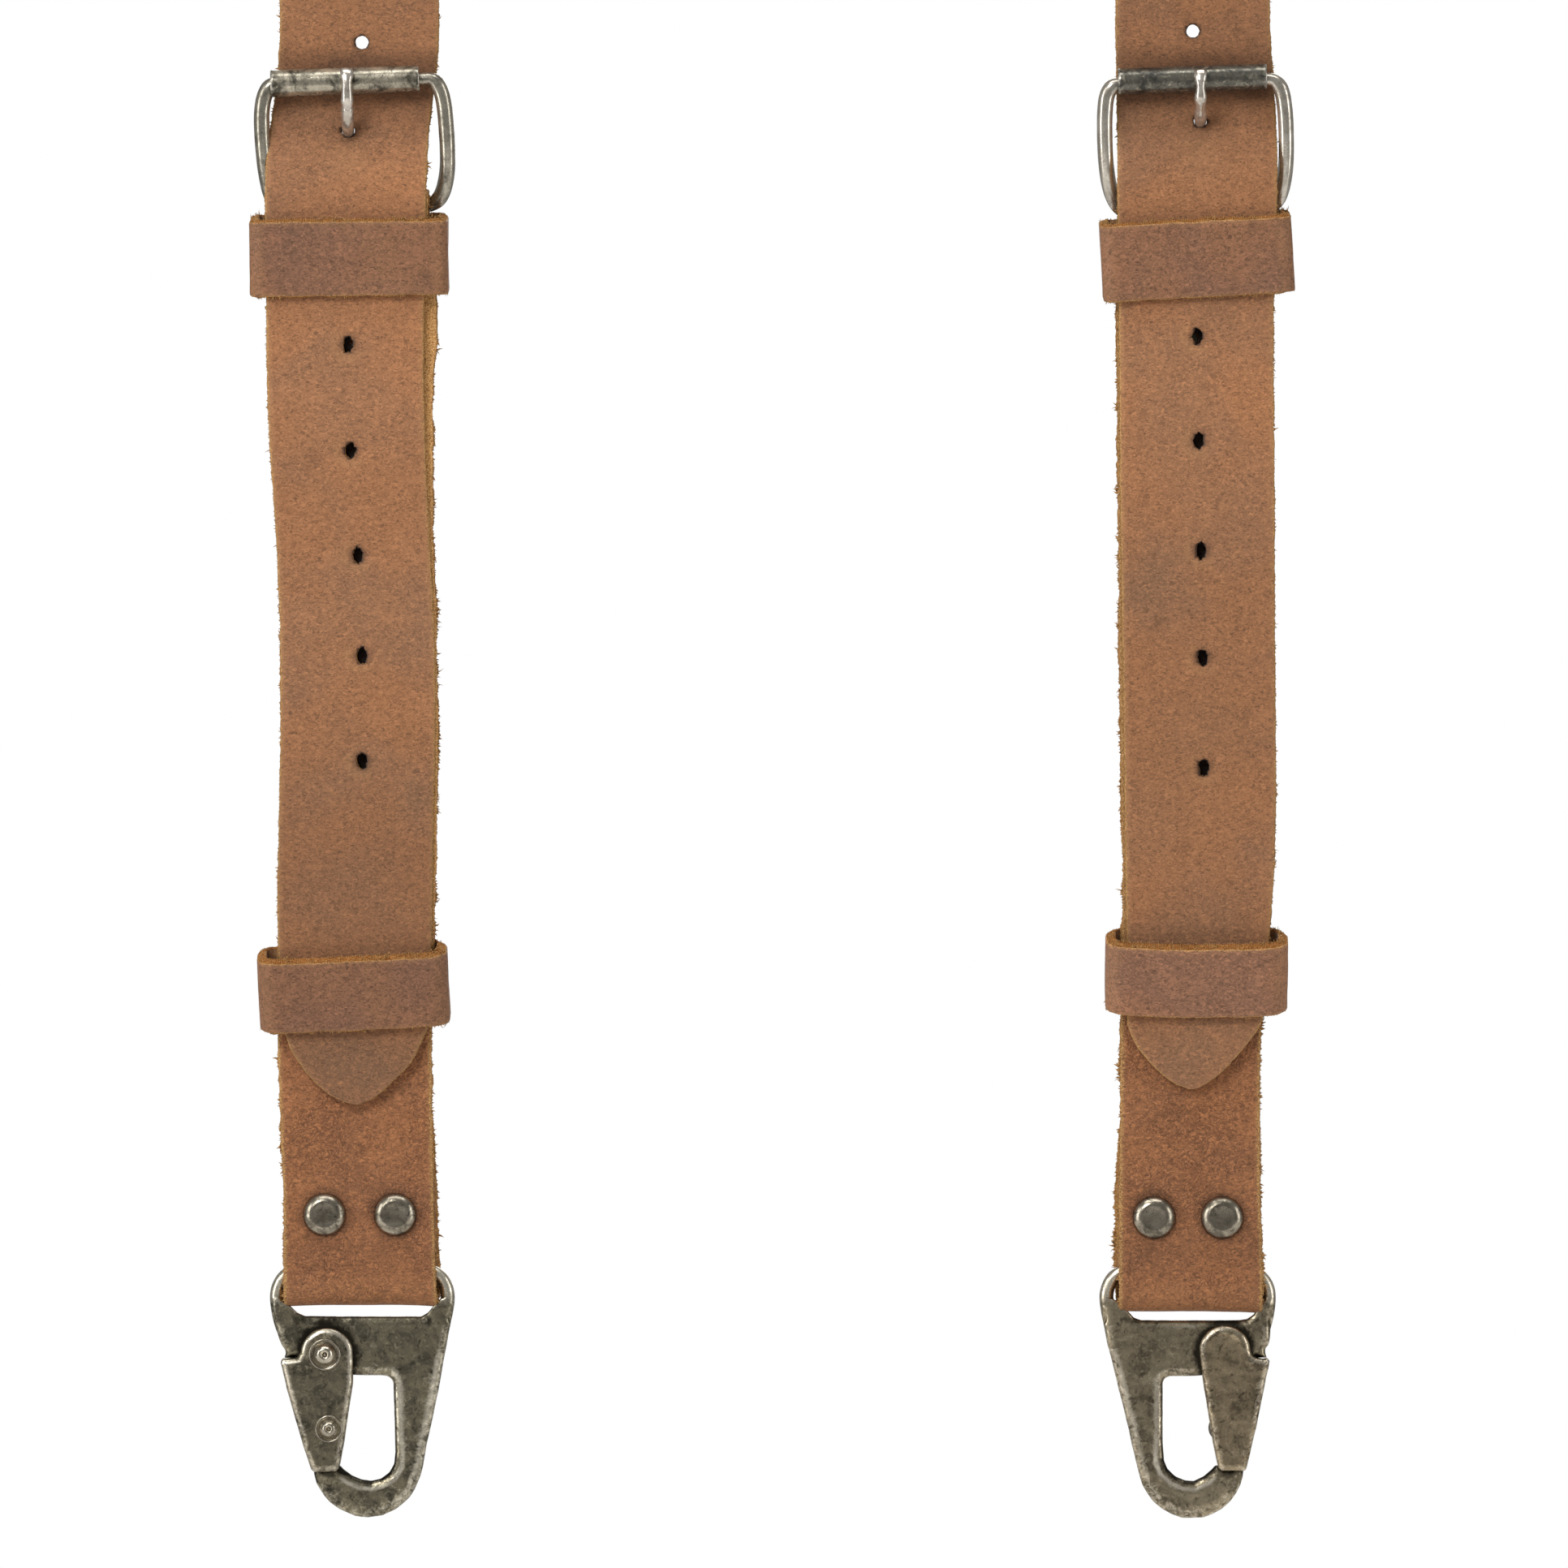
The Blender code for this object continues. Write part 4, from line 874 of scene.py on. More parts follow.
def fold_path(dx, front=True, top=None, doubled_dx=0.0):
    """Centre line of a folded strap in the YZ plane, from its hidden end to its tucked end."""
    P = []
    def arc(cy, cz, r, a0, a1, k):
        return [(cy + r * math.cos(math.radians(a0 + (a1 - a0) * i / k)), cz + r * math.sin(math.radians(a0 + (a1 - a0) * i / k))) for i in range(k + 1)]
    if top is None:
        P += [(2.5, 226.0), (2.5, 252.0), (2.8, 256.0), (3.7, 259.4), (4.8, 262.4)]
        P += arc(HEEL_Y, HEEL_Z, 2.65, 0, 180, 12)
        P += [(0.0, 261.0), (0.0, 200.0)]
    else:
        P += [(0.0, top)]
    P += [(0.0, 100.0), (0.0, 60.0)]
    P += arc(HOOK_Y, FOLD_Z, HOOK_Y, 180, 360, 16)
    P += [(2 * HOOK_Y, 51.0), (5.2, 52.8), (3.3, 56.2), (2.5, 58.2), (2.5, 79.0 if top is None else 72.0)]
    return np.array(P)


# Edges of the hook straps down the front, and how far the tucked layer stands out to one side.
HOOK_EDGES = {
    "left": (
        [262, 367, 430, 455, 560, 660, 757, 860, 1000, 1143, 1285, 1358, 1466, 1581, 1609],
        [331, 332, 334, 335, 338, 343, 348, 349, 347, 344, 342, 344, 349, 350, 350],
        [538, 538, 539, 534, 533, 533.5, 538, 540, 539, 536, 532, 532, 534.5, 537.5, 539],
    ),
    "right": (
        [262, 377, 560, 757, 900, 1027, 1127, 1273, 1369, 1446, 1484, 1561, 1600],
        [1376, 1376, 1377, 1379, 1381, 1382.5, 1383.5, 1381, 1380, 1379.5, 1379.5, 1379, 1378.5],
        [1560, 1562, 1563, 1564, 1565, 1565, 1560, 1554, 1552.5, 1552.5, 1553.5, 1556, 1556],
    ),
}


def hook_strap(side, body_x=0.0, top=None, placer=None, nodes=(), seed=300, edges=None, tuck=0.0):
    P = resample(fold_path(0.0, top=top), 0.8)
    n = len(P)
    C = np.zeros((n, 3))
    C[:, 1:] = P
    T = unit(np.gradient(C, axis=0))
    Sd = np.tile([1.0, 0.0, 0.0], (n, 1))
    N = np.cross(T, Sd)
    # the way the path runs gives the grain side
    low = int(np.argmin(P[:, 1]))
    z = P[:, 1]
    if edges:
        ys, ls, rs = edges
        zz = sz(ys)[::-1]
        L = np.interp(z, zz, sx(ls)[::-1])
        R = np.interp(z, zz, sx(rs)[::-1])
    else:
        L, R = np.full(n, -15.4), np.full(n, 15.4)
    s_all = np.r_[0, np.cumsum(np.linalg.norm(np.diff(P, axis=0), axis=1))]
    if top is None:
        hidden = np.clip((z - 247.0) / 4.0, 0, 1)
        narrow = np.clip(1 - (np.abs(s_all - s_all[np.argmax(z)]) - 13.0) / 4.0, 0, 1)
        mid = (L + R) / 2
        L = L * (1 - narrow) + (mid - 13.3) * narrow
        R = R * (1 - narrow) + (mid + 13.3) * narrow
        cxm = body_x
        L = np.where(narrow > 0, L * (1 - narrow) + (cxm - 13.3) * narrow, L)
        R = np.where(narrow > 0, R * (1 - narrow) + (cxm + 13.3) * narrow, R)
    back = np.clip((s_all - s_all[low]) / 6.0, 0, 1)
    back = back * np.clip((79.5 - z) / 12.0, 0.0, 1)
    L, R = L + tuck * back, R + tuck * back
    C[:, 0] = (L + R) / 2
    half = (R - L) / 2
    if top is not None:
        C[:, 0] = 0.0
    holes = [float(sx(v)) for v in ((400, 487) if side == "left" else (1422, 1506))] if top is None else [-7.15, 7.15]
    hz = 61.3

    def darkening_and_painted_shade(P0, A, kind):
        v = np.zeros(P0.shape[:2])
        # painted shade in a ring at the edge of each rivet cap
        for hx in holes:
            d = np.hypot(P0[..., 0] - hx, P0[..., 2] - hz)
            v = v + 0.42 * np.exp(-(((d - 4.3) / 0.9) ** 2)) * (P0[..., 1] < 1.5)
        # a faint darker band across the front just above the fold
        v = v + 0.10 * np.exp(-(((P0[..., 2] - 53.0) / 3.4) ** 2)) * (P0[..., 1] < 1.5)
        if top is None:
            # painted shade on this strap where it shows through the adjusting holes of the strap in front
            for c in HOLES[side][1:]:
                d = np.hypot(P0[..., 0] - float(sx(c[0])), P0[..., 2] - float(sz(c[1])))
                v = v + 1.0 * (d < 2.4) * (P0[..., 1] < 1.5)
        return v

    def pale(P0, A, kind):
        return 0.40 * np.clip((49 - P0[..., 2]) / 6, 0, 1) * (kind == 0)[None]

    def tint(P0, A, kind):
        return 0.30 * np.clip(vnoise(P0, 16.0, seed + 2), 0, 1)

    # brightness along the strap: darker near the fold, and on the left raised to 1.5 at the top as painted light on the
    # band beside the strap in front
    def tone_and_painted_light(P0, A, kind):
        t = np.interp(P0[..., 2], [40, 46, 54, 75, 84, 100, 112, 130], [1.05, 0.92, 0.88, 0.93, 0.98, 0.95, 0.95, 0.85 if side == "right" else 1.5])
        return t * np.ones_like(A)

    def raw(P0, A, kind):
        near_r, near_l = half[:, None] - A, half[:, None] + A
        front = (P0[..., 1] < 1.5) * (kind != 3)[None]
        up = np.clip((P0[..., 2] - 120) / 20, 0, 1) * np.clip((262 - P0[..., 2]) / 3, 0, 1)
        shown = near_r if side == "left" else near_l
        wide = 3.4 if side == "left" else 1.5
        v = up * np.clip(1.6 - shown / wide, 0, 1)
        v = np.maximum(v, 0.85 * np.clip(1.15 - np.minimum(near_r, near_l) / 0.95, 0, 1))
        return v * front

    def dent(P0, A, kind):
        v = np.zeros(P0.shape[:2])
        for hx in holes:
            d = np.hypot(P0[..., 0] - hx, P0[..., 2] - hz)
            v = v - 0.25 * np.exp(-((d / 5.0) ** 2))
        return v * (kind == 0)[None] * (P0[..., 1] < 1.5)

    # path frames: move all into place
    if placer is not None:
        C2 = placer(C)
        Sd2 = placer(C + Sd) - C2
        N2 = placer(C + N) - C2
    else:
        C2, Sd2, N2 = C, Sd, N

    def local(fn):
        def wrapped(P0, A, kind):
            Q = C[:, None] + A[..., None] * Sd[:, None]
            return fn(Q, A, kind)
        return wrapped

    def sag(V):
        """The fold hangs in a shallow curve, its corners worn rounder."""
        V = np.array(V, float)
        low_ = np.clip((54.0 - V[..., 2]) / 8.0, 0, 1)
        q = np.clip((V[..., 0] - body_x) / 15.8, -1.1, 1.1)
        if side == "left":
            dz = 0.28 - 0.40 * np.abs(q) ** 3 * np.where(q < 0, 0.6, 1.2)
        else:
            dz = -1.15 + 0.35 * np.abs(q) ** 3 * np.where(q < 0, 1.0, -1.0)
        V[..., 2] += dz * low_
        return V

    name = "hook_strap_leather_" + side if top is None else "rear_strap_leather"
    obj, fz = strap_solid(
        name, C2, Sd2, N2, half, half, [M_HOOKSTRAP, M_EDGE, M_FLESH], seed,
        attrs={"darkening_and_painted_shade": local(darkening_and_painted_shade), "pale": local(pale), "tint": local(tint), "dent": local(dent), "tone_and_painted_light": local(tone_and_painted_light), "raw": local(raw)},
        rough=0.34, wave=0.14, fuzz=(30.0 if top is None else 0.0, 1e9, 8.5, 0.38, 1.9), warp=sag if top is None else None,
    )
    place = placer or (lambda q: q)
    parts = []
    for hx in holes:
        c = place(np.array([[hx, 1.2, hz]]))[0]
        parts.append(cylinder_cutter("r", c, (0, 1, 0), 1.8, 1.8, 9.0, seed, ragged=0.0))
    if top is None:
        parts.append(cylinder_cutter("r", np.array([body_x, 1.2, 238.0]), (0, 1, 0), 1.8, 1.8, 9.0, seed, ragged=0.0))
        w = 2.2
        V = np.array([[x, y, zc] for x in (body_x - 1.4 - w, body_x - 1.4 + w) for y in (-4.0, 9.0) for zc in (259.5, 271.0)])
        F = np.array([[0, 1, 3, 2], [4, 6, 7, 5], [0, 4, 5, 1], [2, 3, 7, 6], [0, 2, 6, 4], [1, 5, 7, 3]])
        if volume(V, F) < 0:
            F = F[:, ::-1]
        parts.append((V, F, []))
    else:
        for s in (-1, 1):
            c = place(np.array([[s * 7.5, 0.0, top - 16.0]]))[0]
            parts.append(cylinder_cutter("r", c, (0, 1, 0), 1.8, 1.8, 6.0, seed, ragged=0.0))
    punch(obj, parts)
    take(obj, "straps", "hook_strap_leather", *nodes)
    take(fz, "straps", "hook_strap_leather")
    return obj


# ------------------------------------------------------------------ keepers
def keeper(name, body, centre, half_w, front, back, height, tilt, roll, seed, node, wall=1.75, corner=2.2, bow=0.0, flare=0.0, skew=0.0, wrinkles=False, tone_and_painted_light=1.0, bevel=0.35):
    """A leather band round the straps: a rounded section swept round a rounded rectangle."""
    def rrect(hx, y0, y1, r, k=10):
        pts = []
        for cx, cy, a0 in ((hx - r, y0 + r, -90), (hx - r, y1 - r, 0), (-hx + r, y1 - r, 90), (-hx + r, y0 + r, 180)):
            for i in range(k + 1):
                a = math.radians(a0 + 90 * i / k)
                pts.append((cx + r * math.cos(a), cy + r * math.sin(a)))
        return np.array(pts)

    path = rrect(half_w + wall / 2, front - wall / 2, back + wall / 2, corner)
    path = np.vstack([path, path[:1]])
    path = resample(path, 0.45)[:-1]
    n = len(path)
    nxt, prv = np.roll(path, -1, 0), np.roll(path, 1, 0)
    T2 = unit(nxt - prv)
    out2 = np.stack([T2[:, 1], -T2[:, 0]], 1)
    C = np.zeros((n, 3))
    C[:, :2] = path
    outward = np.zeros((n, 3))
    outward[:, :2] = out2
    up = np.tile([0.0, 0.0, 1.0], (n, 1))
    h, t = height / 2, wall / 2
    K = 20
    A, B, kind = [], [], []
    r = 0.45
    for k in range(K + 1):
        A.append(-(h - r) + 2 * (h - r) * k / K); B.append(t); kind.append(0)
    for g in (30, 60):
        g = math.radians(g); A.append(h - r + r * math.sin(g)); B.append(t - r * (1 - math.cos(g))); kind.append(1)
    for b in (0.55, 0.0, -0.55):
        A.append(h + bevel * (0.55 - b) / 1.1); B.append(b * t); kind.append(2)
    for k in range(8 + 1):
        A.append((h + bevel - 0.1) - (2 * h + bevel - 0.2) * k / 8); B.append(-t); kind.append(3)
    for b in (-0.55, 0.0, 0.55):
        A.append(-h); B.append(b * t); kind.append(-2)
    for g in (60, 30):
        g = math.radians(g); A.append(-(h - r + r * math.sin(g))); B.append(t - r * (1 - math.cos(g))); kind.append(-1)
    A, B, kind = np.array(A), np.array(B), np.array(kind)
    m = len(A)
    P0 = C[:, None] + A[None, :, None] * up[:, None] + B[None, :, None] * outward[:, None]
    ed = fbm(P0, 1.8, seed, 2) * 0.34 + fbm(P0, 6.0, seed + 3, 2) * 0.34
    dA = np.where(np.abs(kind) == 2, 1.0, np.where(np.abs(kind) == 1, 0.5, 0.0))[None] * ed * np.sign(kind)[None]
    dB = np.where(kind == 0, 1.0, 0.0)[None] * (fbm(P0, 9.0, seed + 7, 2) * 0.16 + fbm(P0, 2.0, seed + 8, 2) * 0.04)
    dB = dB + np.where(np.abs(kind) == 2, 1.0, 0.0)[None] * fbm(P0, 1.6, seed + 9, 2) * 0.14
    # the mouth of the band stands open a little at the top
    V = P0 + dA[..., None] * up[:, None] + dB[..., None] * outward[:, None]
    V[..., 1] += np.where(V[..., 1] < 0, -1.0, 0.0) * flare * np.clip((V[..., 2] + h) / (2 * h), 0, 1)
    V[..., 2] += bow * (V[..., 0] / half_w) ** 2 * np.where(V[..., 1] < 0, 1, 0)
    V[..., 2] += skew * V[..., 0] / half_w
    a, b = math.radians(tilt), math.radians(roll)
    Rx = np.array([[1, 0, 0], [0, math.cos(a), -math.sin(a)], [0, math.sin(a), math.cos(a)]])
    Ry = np.array([[math.cos(b), 0, math.sin(b)], [0, 1, 0], [-math.sin(b), 0, math.cos(b)]])
    mid = np.array([0.0, (front + back) / 2, 0.0])
    R = Ry @ Rx
    V = (V - mid) @ R.T + mid + np.asarray(centre)
    F = ring_faces(n, m, cyclic=True)
    flat = V.reshape(-1, 3)
    flip = volume(flat, F) < 0
    if flip:
        F = F[:, ::-1]
    kj = np.tile(kind, n)
    kn = np.tile(np.roll(kind, -1), n)
    mi = np.where((np.abs(kj) == 2) | (np.abs(kn) == 2), 1, np.where((kj == 3) & (kn == 3), 2, 0))
    near = np.minimum(h - A, h + A)
    pale = np.tile(np.clip(1 - near / 0.8, 0, 1) * np.isin(kind, (0, 1, -1)), (n, 1)) * 0.6
    crease = np.clip(np.abs(path[:, 0]) - (half_w - 1.6), 0, 1)[:, None] * (kind == 0)[None]
    pale = pale + 0.25 * crease
    darkening_and_painted_shade = 0.12 * np.clip(0.1 + fbm(P0, 11.0, seed + 12, 2), 0, 1)
    tint = 0.5 * np.clip(fbm(P0, 6.0, seed + 13, 2), 0, 1)
    # rubbed margins, and on some bands a few fine upright wrinkles
    raw = np.tile(0.85 * np.clip(1 - near / 0.5, 0, 1) * np.isin(kind, (0, 1, -1)), (n, 1))
    if wrinkles:
        Q = P0 * np.array([1.0, 1.0, 0.22])
        line = np.clip(1 - np.abs(vnoise(Q, 1.5, seed + 21)) / 0.10, 0, 1) * np.clip(1.2 - np.abs(P0[..., 0]) / 11.0, 0, 1)
        pale = pale + 0.5 * line * np.clip(0.6 + vnoise(P0, 4.0, seed + 22), 0, 1) * (kind == 0)[None]
    # painted shade on the inner face of the band's front wall
    inner_painted_shade = np.where((kind == 3)[None] & (P0[..., 1] < 2.0), 0.45, 0.0)
    tone_k = np.full(P0.shape[:2], tone_and_painted_light)
    obj = build(name, flat, [F], [M_KEEPER, M_EDGE_DARK, M_FLESH], mi, {"darkening_and_painted_shade": np.clip(darkening_and_painted_shade + inner_painted_shade, 0, 1), "pale": np.clip(pale, 0, 1), "tint": tint, "raw": raw, "tone_and_painted_light": tone_k}, angle=50)
    # fibres on the two cut rims
    rng = np.random.default_rng(seed)
    count = 2000
    i = rng.integers(0, n, count)
    sgn = rng.choice([1.0, 1.0, -1.0], count)
    bb = rng.uniform(-0.9, 0.9, count) * t
    Pb = C[i] + (sgn * (h + 0.02) + np.where(sgn > 0, bevel * (0.55 - bb / t) / 1.1, 0))[:, None] * up[i] + bb[:, None] * outward[i]
    e = fbm(Pb, 1.8, seed, 2) * 0.34 + fbm(Pb, 6.0, seed + 3, 2) * 0.34
    Pb = Pb + (e * sgn)[:, None] * up[i] * 1.0
    Pb[:, 1] += np.where(Pb[:, 1] < 0, -1.0, 0.0) * flare * np.clip((Pb[:, 2] + h) / (2 * h), 0, 1)
    Pb[:, 2] += bow * (Pb[:, 0] / half_w) ** 2 * np.where(Pb[:, 1] < 0, 1, 0) + skew * Pb[:, 0] / half_w
    tang = np.zeros((count, 3)); tang[:, :2] = T2[i]
    D = unit(sgn[:, None] * up[i] + tang * rng.normal(0, 0.7, count)[:, None] + outward[i] * rng.normal(0, 0.5, count)[:, None])
    Pb = (Pb - mid) @ R.T + mid + np.asarray(centre)
    D = D @ R.T
    L = np.clip(0.34 * rng.gamma(2.0, 0.5, count) * np.clip(0.45 + 1.3 * vnoise(Pb, 2.6, seed + 4), 0.15, 1.6), 0.06, 1.0)
    fz = fibres(name + "_fibres", Pb, D, L, rng.uniform(0.06, 0.15, count), rng)
    take(obj, body, "keeper_leather", node)
    take(fz, body, "keeper_leather")
    return obj


# ------------------------------------------------------------------ tubes and turned pieces
def tube(name, P, r, mats, k=20, closed=False, squash=None, angle=None, caps=True):
    P = np.asarray(P, float)
    n = len(P)
    T = unit((np.roll(P, -1, 0) - np.roll(P, 1, 0)) if closed else np.gradient(P, axis=0))
    N = np.zeros_like(P)
    ref = np.array([0.0, 1.0, 0.0]) if abs(T[0, 1]) < 0.9 else np.array([1.0, 0.0, 0.0])
    N[0] = unit(ref - T[0] * ref.dot(T[0]))
    for i in range(1, n):
        v = N[i - 1] - T[i] * N[i - 1].dot(T[i])
        N[i] = unit(v)
    B = np.cross(T, N)
    r = np.broadcast_to(np.asarray(r, float), (n,))
    th = np.linspace(0, 2 * math.pi, k, endpoint=False)
    sq = np.ones((n, 2)) if squash is None else np.asarray(squash, float)
    V = P[:, None] + (r * sq[:, 0])[:, None, None] * np.cos(th)[None, :, None] * N[:, None] + (r * sq[:, 1])[:, None, None] * np.sin(th)[None, :, None] * B[:, None]
    F = ring_faces(n, k, cyclic=closed)
    flat = V.reshape(-1, 3)
    neg = volume(flat, F) < 0
    if neg:
        F = F[:, ::-1]
    faces = [F]
    if not closed and caps:
        c = [list(range(k)), [x + (n - 1) * k for x in range(k)]]
        c = [c[0], c[1][::-1]] if neg else [c[0][::-1], c[1]]
        faces.append(c)
    return flat, faces


def revolve(profile, k=56):
    """(radius, height) profile from axis to axis, round +Z; returns vertices and faces."""
    prof = np.asarray(profile, float)
    th = np.linspace(0, 2 * math.pi, k, endpoint=False)
    inner = prof[1:-1]
    V = np.stack([inner[:, 0][:, None] * np.cos(th), inner[:, 0][:, None] * np.sin(th), np.repeat(inner[:, 1][:, None], k, 1)], -1).reshape(-1, 3)
    F = ring_faces(len(inner), k)
    a, b = len(V), len(V) + 1
    V = np.vstack([V, [[0, 0, prof[0, 1]], [0, 0, prof[-1, 1]]]])
    j = np.arange(k)
    t1 = np.stack([np.full(k, a), (j + 1) % k, j], 1)
    o = (len(inner) - 1) * k
    t2 = np.stack([np.full(k, b), o + j, o + (j + 1) % k], 1)
    Vn = V - V.mean(0)
    v = float(np.einsum("ij,ij->i", Vn[t1[:, 0]], np.cross(Vn[t1[:, 1]], Vn[t1[:, 2]])).sum()) + volume(Vn, F)
    if v < 0:
        F, t1, t2 = F[:, ::-1], t1[:, ::-1], t2[:, ::-1]
    return V, [F, np.vstack([t1, t2])]


def polish(obj, seed, dents=0.03, size=2.4, gain=2.2, smooth=3):
    """Small hand-worn unevenness along the normals, then the wear attribute."""
    me = obj.data
    co, no = coords(me), normals(me)
    mm = co * 1000
    d = fbm(mm, size, seed, 2) * dents + fbm(mm, size * 0.3, seed + 3, 2) * dents * 0.35
    set_coords(me, co + no * d[:, None] * 0.001)
    wear_and_painted_light(me, gain, smooth)
    return obj


# ------------------------------------------------------------------ solid plates through a voxel skin
def prism(points, y0, y1):
    """A closed prism over a flat outline (x, z), as a bmesh-ready triangle mesh."""
    bm = bmesh.new()
    vs = [bm.verts.new((float(x), float(y0), float(z))) for x, z in points]
    face = bm.faces.new(vs)
    got = bmesh.ops.extrude_face_region(bm, geom=[face])
    top = [g for g in got["geom"] if isinstance(g, bmesh.types.BMVert)]
    for v in top:
        v.co.y = float(y1)
    bmesh.ops.recalc_face_normals(bm, faces=bm.faces)
    bmesh.ops.triangulate(bm, faces=bm.faces)
    bm.verts.index_update()
    V = np.array([v.co[:] for v in bm.verts])
    F = np.array([[v.index for v in f.verts] for f in bm.faces])
    bm.free()
    return V, F


def skin(name, shapes, mats, voxel, smooth=3, cut=None):
    """Joins closed shapes (mm) into one smooth skin. cut holds shapes taken away first."""
    off, Vs, Fs = 0, [], []
    for V, faces in shapes:
        Vs.append(V)
        for f in faces:
            Fs += [[i + off for i in q] for q in (f.tolist() if hasattr(f, "tolist") else f)]
        off += len(V)
    me = bpy.data.meshes.new(name)
    me.from_pydata((np.vstack(Vs) * 0.001).tolist(), [], Fs)
    obj = bpy.data.objects.new(name, me)
    bpy.context.scene.collection.objects.link(obj)
    gone = []
    if cut:
        for V, F in cut:
            cm = bpy.data.meshes.new(name + "_cut")
            cm.from_pydata((V * 0.001).tolist(), [], F.tolist())
            co = bpy.data.objects.new(name + "_cut", cm)
            bpy.context.scene.collection.objects.link(co)
            mod = obj.modifiers.new("Cut", "BOOLEAN")
            mod.operation, mod.solver, mod.object = "DIFFERENCE", "EXACT", co
            gone.append(co)
    mod = obj.modifiers.new("Skin", "REMESH")
    mod.mode, mod.voxel_size, mod.adaptivity = "VOXEL", voxel * 0.001, 0.0
    mod.use_smooth_shade = True
    if smooth:
        mod = obj.modifiers.new("Ease", "SMOOTH")
        mod.factor, mod.iterations = 0.5, smooth
    evaluated(obj)
    for co in gone:
        cm = co.data
        bpy.data.objects.remove(co, do_unlink=True)
        bpy.data.meshes.remove(cm)
    obj.data.materials.clear()
    for m in mats:
        obj.data.materials.append(m)
    obj.data.shade_smooth()
    return obj


def into_row(obj, placer):
    """Moves a mesh modelled in its own millimetres (held in metres) to its place in the row frame."""
    set_coords(obj.data, row(placer(coords(obj.data) * 1000.0)))
    return obj


def segment_distance(P, poly):
    """Distance of (x, z) points to a closed outline."""
    best = np.full(len(P), 1e9)
    Q = np.roll(poly, -1, 0)
    for a, b in zip(poly, Q):
        ab = b - a
        t = np.clip(((P - a) @ ab) / max(ab @ ab, 1e-9), 0, 1)
        best = np.minimum(best, np.linalg.norm(P - (a + t[:, None] * ab), axis=1))
    return best


# Hook plate and gate, seen from the rivet side; x from the middle, z from the lowest point.
def hx(v):
    return (np.asarray(v, float) - 446.5) * S


def hz(v):
    return (1870.0 - np.asarray(v, float)) * S


def pts(*pairs):
    return np.array([[float(hx(a)), float(hz(b))] for a, b in pairs])


